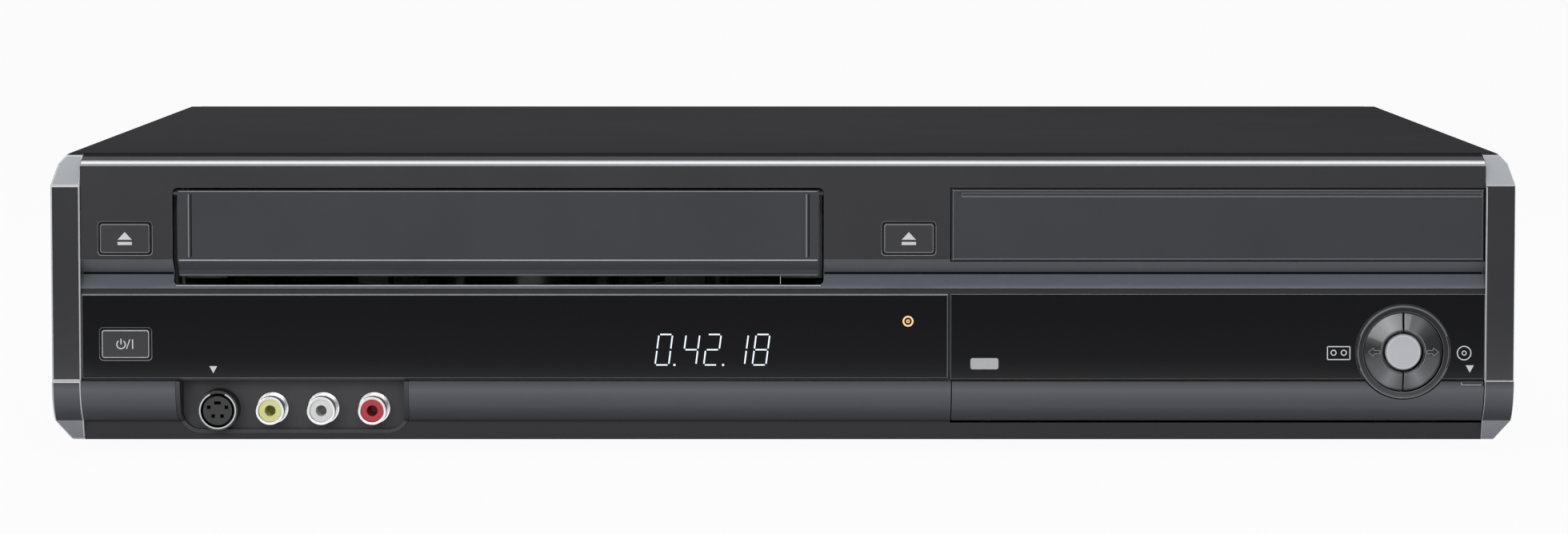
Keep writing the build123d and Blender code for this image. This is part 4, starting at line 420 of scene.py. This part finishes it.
def ribbon(name, x0, x1, low, high, finish, body, lift=0.04):
    """A thin strip along X on a face that runs from low to high, each a (y, z) in millimetres."""
    (ya, za), (yb, zb) = low, high
    length = math.hypot(yb - ya, zb - za)
    out = (-(zb - za) / length * lift, (yb - ya) / length * lift)
    corners = [(x, y + side * out[0], z + side * out[1])
               for side in (0, 1) for x, y, z in ((x0, ya, za), (x1, ya, za), (x1, yb, zb), (x0, yb, zb))]
    mesh = bpy.data.meshes.new(name)
    faces = [(0, 3, 2, 1), (4, 5, 6, 7), (0, 1, 5, 4), (1, 2, 6, 5), (2, 3, 7, 6), (3, 0, 4, 7)]
    mesh.from_pydata([tuple(v * MM for v in corner) for corner in corners], [], faces)
    mesh.materials.append(finish)
    obj = bpy.data.objects.new(name, mesh)
    bpy.context.scene.collection.objects.link(obj)
    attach(obj, body)
    return obj


def frame_lines(x0, x1, z0, z1, widths, corner):
    """The four sides and rounded corners of a frame; widths are left, bottom, right and top."""
    left, bottom, right, top = widths
    lines = [bar(x0, z0 + corner, x0, z1 - corner, left), bar(x0 + corner, z0, x1 - corner, z0, bottom),
             bar(x1, z0 + corner, x1, z1 - corner, right), bar(x0 + corner, z1, x1 - corner, z1, top)]
    for x, z, start, width in (
            (x0 + corner, z0 + corner, 180, bottom), (x1 - corner, z0 + corner, 270, bottom),
            (x1 - corner, z1 - corner, 0, top), (x0 + corner, z1 - corner, 90, top)):
        lines += arc(x, z, corner, start, start + 90, width, 5)
    return lines


# ---- Painted highlights and shade on the front's edges --------------------------------------

FACE_Y, INNER_X = -173.0, 206.2     # the bezel's face, and half its width between the end caps
FLAP_X0, FLAP_X1 = -177.9, 10.6     # sides of the cassette flap
SLOT_X0, SLOT_X1 = -178.4, 11.1     # and of the slot that it closes
GROOVE_END_LEFT, GROOVE_END_RIGHT = -179.5, 12.2    # where the V groove stops beside the flap
RIB_FOOT, RIB_TOP, RIB_STEP = 57.8, 76.3, 0.75
CAP_LINE_X, CAP_LINE_Y, CAP_LINE_Z = 206.75, -174.0, (21.6, 78.4)

# the painted highlight and shade lines run from one (y, z) to the other
ribbon("rim_line", -INNER_X, INNER_X, (-172.2, 85.13), (-171.1, 85.87), white_highlight, "case")
# painted highlights along the cassette flap's top, fold and foot
ribbon("flap_top_line", FLAP_X0 + 0.6, FLAP_X1 - 0.6, (FACE_Y, 77.0), (FACE_Y, 77.25), highlight_and_print_grey,
       "cassette_flap")
ribbon("flap_fold_line", FLAP_X0 + 0.4, FLAP_X1 - 0.4, (-172.95, 57.0), (-172.75, 56.7), pale_highlight,
       "cassette_flap")
ribbon("flap_foot_line", FLAP_X0 + 0.4, FLAP_X1 - 0.4, (-169.55, 52.5), (-169.25, 52.1), highlight_and_print_grey,
       "cassette_flap")
# each flap rib gets a painted highlight on one side and painted shade beside it
for side, rib_x in (("left", FLAP_X0 + 3.3), ("right", FLAP_X1 - 3.7)):
    strokes("flap_rib_%s_light" % side, [bar(rib_x, RIB_FOOT, rib_x, RIB_TOP, 0.28)], FACE_Y - 0.25, LINE,
            highlight_and_print_grey, "cassette_flap")
    strokes("flap_rib_%s_dark" % side, [bar(rib_x + RIB_STEP, RIB_FOOT, rib_x + RIB_STEP, RIB_TOP, 0.4)],
            FACE_Y, LINE, joint_and_shade_black, "cassette_flap")
# painted shade along the bottom of the V groove
for side, x0, x1 in (("left", -INNER_X, GROOVE_END_LEFT), ("right", GROOVE_END_RIGHT, INNER_X)):
    ribbon("groove_line_" + side, x0, x1, (-168.95, 52.45), (-168.25, 53.06), joint_and_shade_black, "case")
# painted highlight where each end cap meets the bezel
for side, x in (("left", -CAP_LINE_X), ("right", CAP_LINE_X)):
    strokes("cap_line_" + side, [bar(x, CAP_LINE_Z[0], x, CAP_LINE_Z[1], 0.2)], CAP_LINE_Y, LINE, pale_highlight,
            "case")
# painted highlight on the slot's lower edge
ribbon("slot_line", SLOT_X0, SLOT_X1, (-172.70, 49.2), (-172.40, 49.45), white_highlight, "case")


def eject_symbol(node, half=2.1):
    """A triangle over a bar, in the middle of a key; half is half their width."""
    x, _, z = centre_of(node)
    triangle = [(x - half, z - 0.35), (x + half, z - 0.35), (x, z + 1.9)]
    underline = bar(x - half, z - 1.45, x + half, z - 1.45, 0.9)
    strokes(node + "_symbol", [triangle, underline], low_of(node)[1], PRINT, print_and_highlight_white, node)


eject_symbol("eject_button")
eject_symbol("tray_button")

power_x, _, power_z = centre_of("power_button")
power_y = low_of("power_button")[1]
# an open ring with a stroke, a slash and another stroke
power_lines = arc(power_x - 1.3, power_z - 0.1, 1.25, 125, 415, 0.32)
power_lines += [bar(power_x - 1.3, power_z - 0.1, power_x - 1.3, power_z + 1.6, 0.32),
                bar(power_x + 0.3, power_z - 1.4, power_x + 1.3, power_z + 1.4, 0.28),
                bar(power_x + 2.1, power_z - 1.4, power_x + 2.1, power_z + 1.4, 0.32)]
strokes("power_symbol", power_lines, power_y, PRINT, print_and_highlight_white, "power_button")


COLLAR = 1.0        # a key's hidden collar reaches this far past its face, in mm


def key_outline(node, surround_y, light):
    """Dark joint round a key, with painted highlights where its edges and its opening catch the light."""
    (x0, y, z0), (x1, _, z1) = low_of(node), high_of(node)
    x0, x1, z0, z1 = x0 + COLLAR, x1 - COLLAR, z0 + COLLAR, z1 - COLLAR

    def outline(out, widths, corner):
        return frame_lines(x0 - out, x1 + out, z0 - out, z1 + out, widths, corner)

    joint = outline(0.25, (0.45, 0.5, 0.45, 0.5), 0.9)
    lip = outline(0.6, (0.08, 0.2, 0.12, 0.08), 1.1)
    edge = outline(-0.3, (0.16, 0.16, 0.12, 0.22), 0.6)
    strokes(node + "_joint", joint, surround_y, 0.02, joint_and_shade_black, "case")
    strokes(node + "_lip", lip, surround_y, LINE, highlight_and_print_grey, "case")
    strokes(node + "_edge", edge, y, LINE, light, node)


key_outline("eject_button", FACE_Y, highlight_and_print_grey)
key_outline("tray_button", FACE_Y, highlight_and_print_grey)
# the power key's edges get a painted highlight in the print colour
key_outline("power_button", low_of("display_window")[1], print_and_highlight_white)

# open metal ring of the S-video socket
s_x, _, s_z = centre_of("s_video_socket")
strokes("s_video_ring", arc(s_x, s_z, 5.25, 115, 425, 0.42, 40), low_of("s_video_socket")[1], PRINT,
        print_and_highlight_white, "case")

# ---- Display digits -----------------------------------------------------------------------

SEGMENTS = {
    "0": "abcdef", "1": "bc", "2": "abged", "3": "abgcd", "4": "fgbc",
    "5": "afgcd", "6": "afgedc", "7": "abc", "8": "abcdefg", "9": "abcdfg",
}
window_y = low_of("display_window")[1]


def digit(character, x, z, wide, tall, lean, stroke):
    """One leaning seven-segment figure with its lower left corner at (x, z)."""
    gap = 0.35
    mid = z + tall / 2
    ends = {
        "a": (x + gap, z + tall, x + wide - gap, z + tall), "d": (x + gap, z, x + wide - gap, z),
        "g": (x + gap, mid, x + wide - gap, mid),
        "f": (x, mid + gap, x, z + tall - gap), "b": (x + wide, mid + gap, x + wide, z + tall - gap),
        "e": (x, z + gap, x, mid - gap), "c": (x + wide, z + gap, x + wide, mid - gap),
    }
    lines = []
    for segment in SEGMENTS[character]:
        x0, z0, x1, z1 = ends[segment]
        lines.append(bar(x0 + (z0 - z) * lean, z0, x1 + (z1 - z) * lean, z1, stroke))
    return lines


DIGITS_X, DIGITS_Z = -37.6, 26.0        # lower left corner of the first figure
DIGIT_WIDE, DIGIT_TALL, LEAN = 4.0, 9.0, 0.13
DIGIT_GAP, DIGIT_STROKE = 2.3, 0.42
DOT, DOT_ADVANCE = 0.6, 1.7

digits = []
cursor = DIGITS_X
for character in "0.42.18":
    if character == ".":
        digits.append(bar(cursor - 0.9, DIGITS_Z, cursor - 0.3, DIGITS_Z, DOT))
        cursor += DOT_ADVANCE
        continue
    digits += digit(character, cursor, DIGITS_Z, DIGIT_WIDE, DIGIT_TALL, LEAN, DIGIT_STROKE)
    cursor += DIGIT_WIDE + DIGIT_GAP
strokes("display_digits", digits, window_y, PRINT, digit_glow, "case")

# amber disc mark, where the photographed display lights a word
MARK_X, MARK_Z = 36.8, 38.9
mark = arc(MARK_X, MARK_Z, 1.35, 0, 360, 0.5, 28) + arc(MARK_X, MARK_Z, 0.4, 0, 360, 0.3, 16)
strokes("disc_mark", mark, window_y, PRINT, amber_glow, "case")

# ---- Marks on the dial window ---------------------------------------------------------------

dial_window_y = low_of("dial_window")[1]
TAPE_X0, TAPE_X1, TAPE_Z0, TAPE_Z1 = 160.2, 166.8, 27.6, 31.4   # outline of the cassette mark
REELS_X, REELS_Z = (162.0, 165.0), 29.6
DISC_X, DISC_Z = 200.4, 29.5
MARK_STROKE = 0.3

cassette = [bar(TAPE_X0, z, TAPE_X1, z, MARK_STROKE) for z in (TAPE_Z1, TAPE_Z0)]
cassette += [bar(x, TAPE_Z0, x, TAPE_Z1, MARK_STROKE) for x in (TAPE_X0, TAPE_X1)]
for reel_x in REELS_X:
    cassette += arc(reel_x, REELS_Z, 0.75, 0, 360, MARK_STROKE, 18)
strokes("cassette_mark", cassette, dial_window_y, PRINT, print_and_highlight_white, "case")
disc = arc(DISC_X, DISC_Z, 2.0, 0, 360, 0.32, 32) + arc(DISC_X, DISC_Z, 0.6, 0, 360, 0.28, 18)
strokes("disc_outline_mark", disc, dial_window_y, PRINT, print_and_highlight_white, "case")


def arrow(name, x, z, way):
    """Outlined arrow, 3.4 mm long, pointing along way."""
    corners = [(-1.7, 0.5), (0.1, 0.5), (0.1, 1.3), (1.7, 0.0), (0.1, -1.3), (0.1, -0.5), (-1.7, -0.5)]
    points = [(x + way * dx, z + dz) for dx, dz in corners]
    node = "copy_right_button" if way > 0 else "copy_left_button"
    lines = [bar(*a, *b, 0.18) for a, b in zip(points, points[1:] + points[:1])]
    strokes(name, lines, low_of(node)[1], PRINT, highlight_and_print_grey, node)


ARROW_OUT = 8.6                                 # from the dial's centre to an arrow's
RING_LINE_RADIUS, CENTRE_LINE_RADIUS = 13.55, 4.75
arrow("left_arrow", DIAL_X - ARROW_OUT, DIAL_Z, -1)
arrow("right_arrow", DIAL_X + ARROW_OUT, DIAL_Z, 1)
# painted highlights along the outer edge of the dial's ring
ring_line = [stroke for start in (20, 200)
             for stroke in arc(DIAL_X, DIAL_Z, RING_LINE_RADIUS, start, start + 140, 0.14, 40)]
strokes("dial_ring_line", ring_line, low_of("dial_surround")[1], PRINT, highlight_and_print_grey, "case")
strokes("centre_key_line", arc(DIAL_X, DIAL_Z, CENTRE_LINE_RADIUS, 0, 360, 0.22, 48),
        low_of("copy_button")[1], PRINT, print_and_highlight_white, "copy_button")

# finger notch at the right end of the drop-down flap, drawn as a painted highlight on its bottom and left
# edges
NOTCH_X0, NOTCH_X1, NOTCH_Z0, NOTCH_Z1 = 199.5, 205.4, 20.2, 21.0
notch = [bar(NOTCH_X0, NOTCH_Z0, NOTCH_X1, NOTCH_Z0, 0.16), bar(NOTCH_X0, NOTCH_Z0, NOTCH_X0, NOTCH_Z1, 0.16)]
strokes("notch_line", notch, low_of("control_flap")[1] + 0.05, 0.06, pale_highlight, "control_flap")


def down_triangle(name, x, z, half, y):
    """A small filled triangle that points down; half is half its width."""
    strokes(name, [[(x - half, z + half * 0.9), (x, z - half * 0.9), (x + half, z + half * 0.9)]], y, PRINT,
            print_and_highlight_white, "case")


down_triangle("flap_mark", 202.1, 24.8, 1.2, dial_window_y)
down_triangle("socket_mark", -167.6, 24.6, 1.15, window_y)

# bare light plate where the photographed one carries a word, with its corners cut
PLATE_X0, PLATE_X1, PLATE_Z0, PLATE_Z1, CUT = 55.2, 63.4, 24.7, 28.0, 0.4
plate = [(PLATE_X0 + CUT, PLATE_Z0), (PLATE_X1 - CUT, PLATE_Z0), (PLATE_X1, PLATE_Z0 + CUT),
         (PLATE_X1, PLATE_Z1 - CUT), (PLATE_X1 - CUT, PLATE_Z1), (PLATE_X0 + CUT, PLATE_Z1),
         (PLATE_X0, PLATE_Z1 - CUT), (PLATE_X0, PLATE_Z0 + CUT)]
strokes("port_plate", [plate], dial_window_y, PRINT, plate_grey, "case")

# ---- Dust gauze inside the fan ------------------------------------------------------------------

GAUZE_RADIUS = 18.4
fan_x, _, fan_z = centre_of("fan_frame")
gauze = [(fan_x + GAUZE_RADIUS * math.cos(math.radians(a)), fan_z + GAUZE_RADIUS * math.sin(math.radians(a)))
         for a in range(0, 360, 10)]
strokes("fan_gauze", [gauze], low_of("fan_frame")[1] - 0.05, 0.2, FINISH["black_plastic"], "case")

# ---- Camera, light and floor ------------------------------------------------------------------

LENS = 123.85                               # mm, on a sensor 36 mm wide
CAMERA_AT = (0.00033, -1.7545, 0.1682)      # fitted to the corners of the cover and the front
CAMERA_DIP = 4.0988                         # degrees below level

scene = bpy.context.scene
camera_data = bpy.data.cameras.new("camera")
camera_data.lens = LENS
camera_data.sensor_width = 36.0
camera_data.clip_end = 20.0
camera = bpy.data.objects.new("camera", camera_data)
scene.collection.objects.link(camera)
camera.location = CAMERA_AT
camera.rotation_euler = (math.radians(90 - CAMERA_DIP), 0, 0)
scene.camera = camera


def area_light(name, where, aim, size, power):
    """A rectangular lamp of size (x, y) in metres, aimed at a point."""
    data = bpy.data.lights.new(name, "AREA")
    data.shape = "RECTANGLE"
    data.size, data.size_y = size
    data.energy = power
    lamp = bpy.data.objects.new(name, data)
    scene.collection.objects.link(lamp)
    lamp.location = where
    lamp.rotation_euler = (Vector(aim) - Vector(where)).to_track_quat("-Z", "Y").to_euler()


area_light("overhead", (0, 0.02, 1.35), (0, 0.02, 0), (2.6, 0.85), 9)
area_light("front_fill", (-0.4, -2.6, 0.75), (0, 0, 0.05), (2.4, 0.9), 25)

# Shares of the white background that each kind of ray sees. Glossy rays see little of it, because the
# photographed gloss is dark; in the floor they see the lit patch below instead.
WORLD_SHARES = {"Is Camera Ray": 1.0, "Is Glossy Ray": 0.2, "Is Transmission Ray": 1.0}
FLOOR_SHARES = {"Is Camera Ray": 0.95, "Is Glossy Ray": 0.0, "Is Transmission Ray": 1.0}
SKY_Z, SKY_LEVEL = (0.02, 0.9), (0.14, 0.32)    # the world brightens upwards between these
PATCH_Y = (-0.70, -0.17)                        # far and near side of the lit patch, in metres
PATCH_LEVELS = ((0.45, 0.22), (0.78, 1.0), (0.92, 1.0), (0.97, 0.5))
PATCH_STRENGTH = 1.3


def background_share(tree, path, shares):
    """How much of the white background a ray sees, by its kind."""
    total = None
    for output, weight in shares.items():
        part = add_node(tree, "ShaderNodeMath", operation="MULTIPLY")
        part.inputs[1].default_value = weight
        tree.links.new(path.outputs[output], part.inputs[0])
        if total is None:
            total = part
            continue
        joined = add_node(tree, "ShaderNodeMath", operation="MAXIMUM")
        tree.links.new(total.outputs[0], joined.inputs[0])
        tree.links.new(part.outputs[0], joined.inputs[1])
        total = joined
    return total.outputs[0]


world = bpy.data.worlds.new("studio")
scene.world = world
world.use_nodes = True
tree = world.node_tree
tree.nodes.clear()
place = tree.nodes.new("ShaderNodeTexCoord")
apart = tree.nodes.new("ShaderNodeSeparateXYZ")
tree.links.new(place.outputs["Generated"], apart.inputs[0])
rise = add_node(tree, "ShaderNodeMapRange")
rise.inputs["From Min"].default_value, rise.inputs["From Max"].default_value = SKY_Z
rise.inputs["To Min"].default_value, rise.inputs["To Max"].default_value = SKY_LEVEL
tree.links.new(apart.outputs["Z"], rise.inputs["Value"])
path = tree.nodes.new("ShaderNodeLightPath")
shown = add_node(tree, "ShaderNodeBackground", Color=(1, 1, 1, 1), Strength=1.0)
ambient = add_node(tree, "ShaderNodeBackground", Color=(0.92, 0.95, 1.0, 1))
tree.links.new(rise.outputs["Result"], ambient.inputs["Strength"])
chosen = tree.nodes.new("ShaderNodeMixShader")
out = tree.nodes.new("ShaderNodeOutputWorld")
tree.links.new(background_share(tree, path, WORLD_SHARES), chosen.inputs[0])
tree.links.new(ambient.outputs[0], chosen.inputs[1])
tree.links.new(shown.outputs[0], chosen.inputs[2])
tree.links.new(chosen.outputs[0], out.inputs["Surface"])

floor_mesh = bpy.data.meshes.new("floor")
floor_work = bmesh.new()
bmesh.ops.create_grid(floor_work, x_segments=1, y_segments=1, size=6.0)
floor_work.to_mesh(floor_mesh)
floor_work.free()
floor = bpy.data.objects.new("floor", floor_mesh)
scene.collection.objects.link(floor)
floor_finish = bpy.data.materials.new("floor")
floor_finish.use_nodes = True
tree = floor_finish.node_tree
tree.nodes.clear()
path = tree.nodes.new("ShaderNodeLightPath")
matt = add_node(tree, "ShaderNodeBsdfDiffuse", Color=(0.80, 0.80, 0.80, 1))
shown = add_node(tree, "ShaderNodeEmission", Color=(1, 1, 1, 1), Strength=1.0)
seen = tree.nodes.new("ShaderNodeMixShader")
tree.links.new(background_share(tree, path, FLOOR_SHARES), seen.inputs[0])
tree.links.new(matt.outputs[0], seen.inputs[1])
tree.links.new(shown.outputs[0], seen.inputs[2])
# a lit patch of table in front, seen only by glossy rays, which makes the front's reflections
place = tree.nodes.new("ShaderNodeTexCoord")
apart = tree.nodes.new("ShaderNodeSeparateXYZ")
tree.links.new(place.outputs["Object"], apart.inputs[0])
reach = add_node(tree, "ShaderNodeMapRange")
reach.inputs["From Min"].default_value, reach.inputs["From Max"].default_value = PATCH_Y
tree.links.new(apart.outputs["Y"], reach.inputs["Value"])
patch = tree.nodes.new("ShaderNodeValToRGB")
patch.color_ramp.elements[0].color = (0.16, 0.16, 0.17, 1)
patch.color_ramp.elements[1].color = (0.20, 0.20, 0.21, 1)
for where, level in PATCH_LEVELS:
    patch.color_ramp.elements.new(where).color = (level, level, level * 1.03, 1)
tree.links.new(reach.outputs["Result"], patch.inputs["Fac"])
mirrored = add_node(tree, "ShaderNodeEmission", Strength=PATCH_STRENGTH)
tree.links.new(patch.outputs["Color"], mirrored.inputs["Color"])
chosen = tree.nodes.new("ShaderNodeMixShader")
out = tree.nodes.new("ShaderNodeOutputMaterial")
tree.links.new(path.outputs["Is Glossy Ray"], chosen.inputs[0])
tree.links.new(seen.outputs[0], chosen.inputs[1])
tree.links.new(mirrored.outputs[0], chosen.inputs[2])
tree.links.new(chosen.outputs[0], out.inputs["Surface"])
floor_mesh.materials.append(floor_finish)

scene.view_settings.view_transform = "Standard"
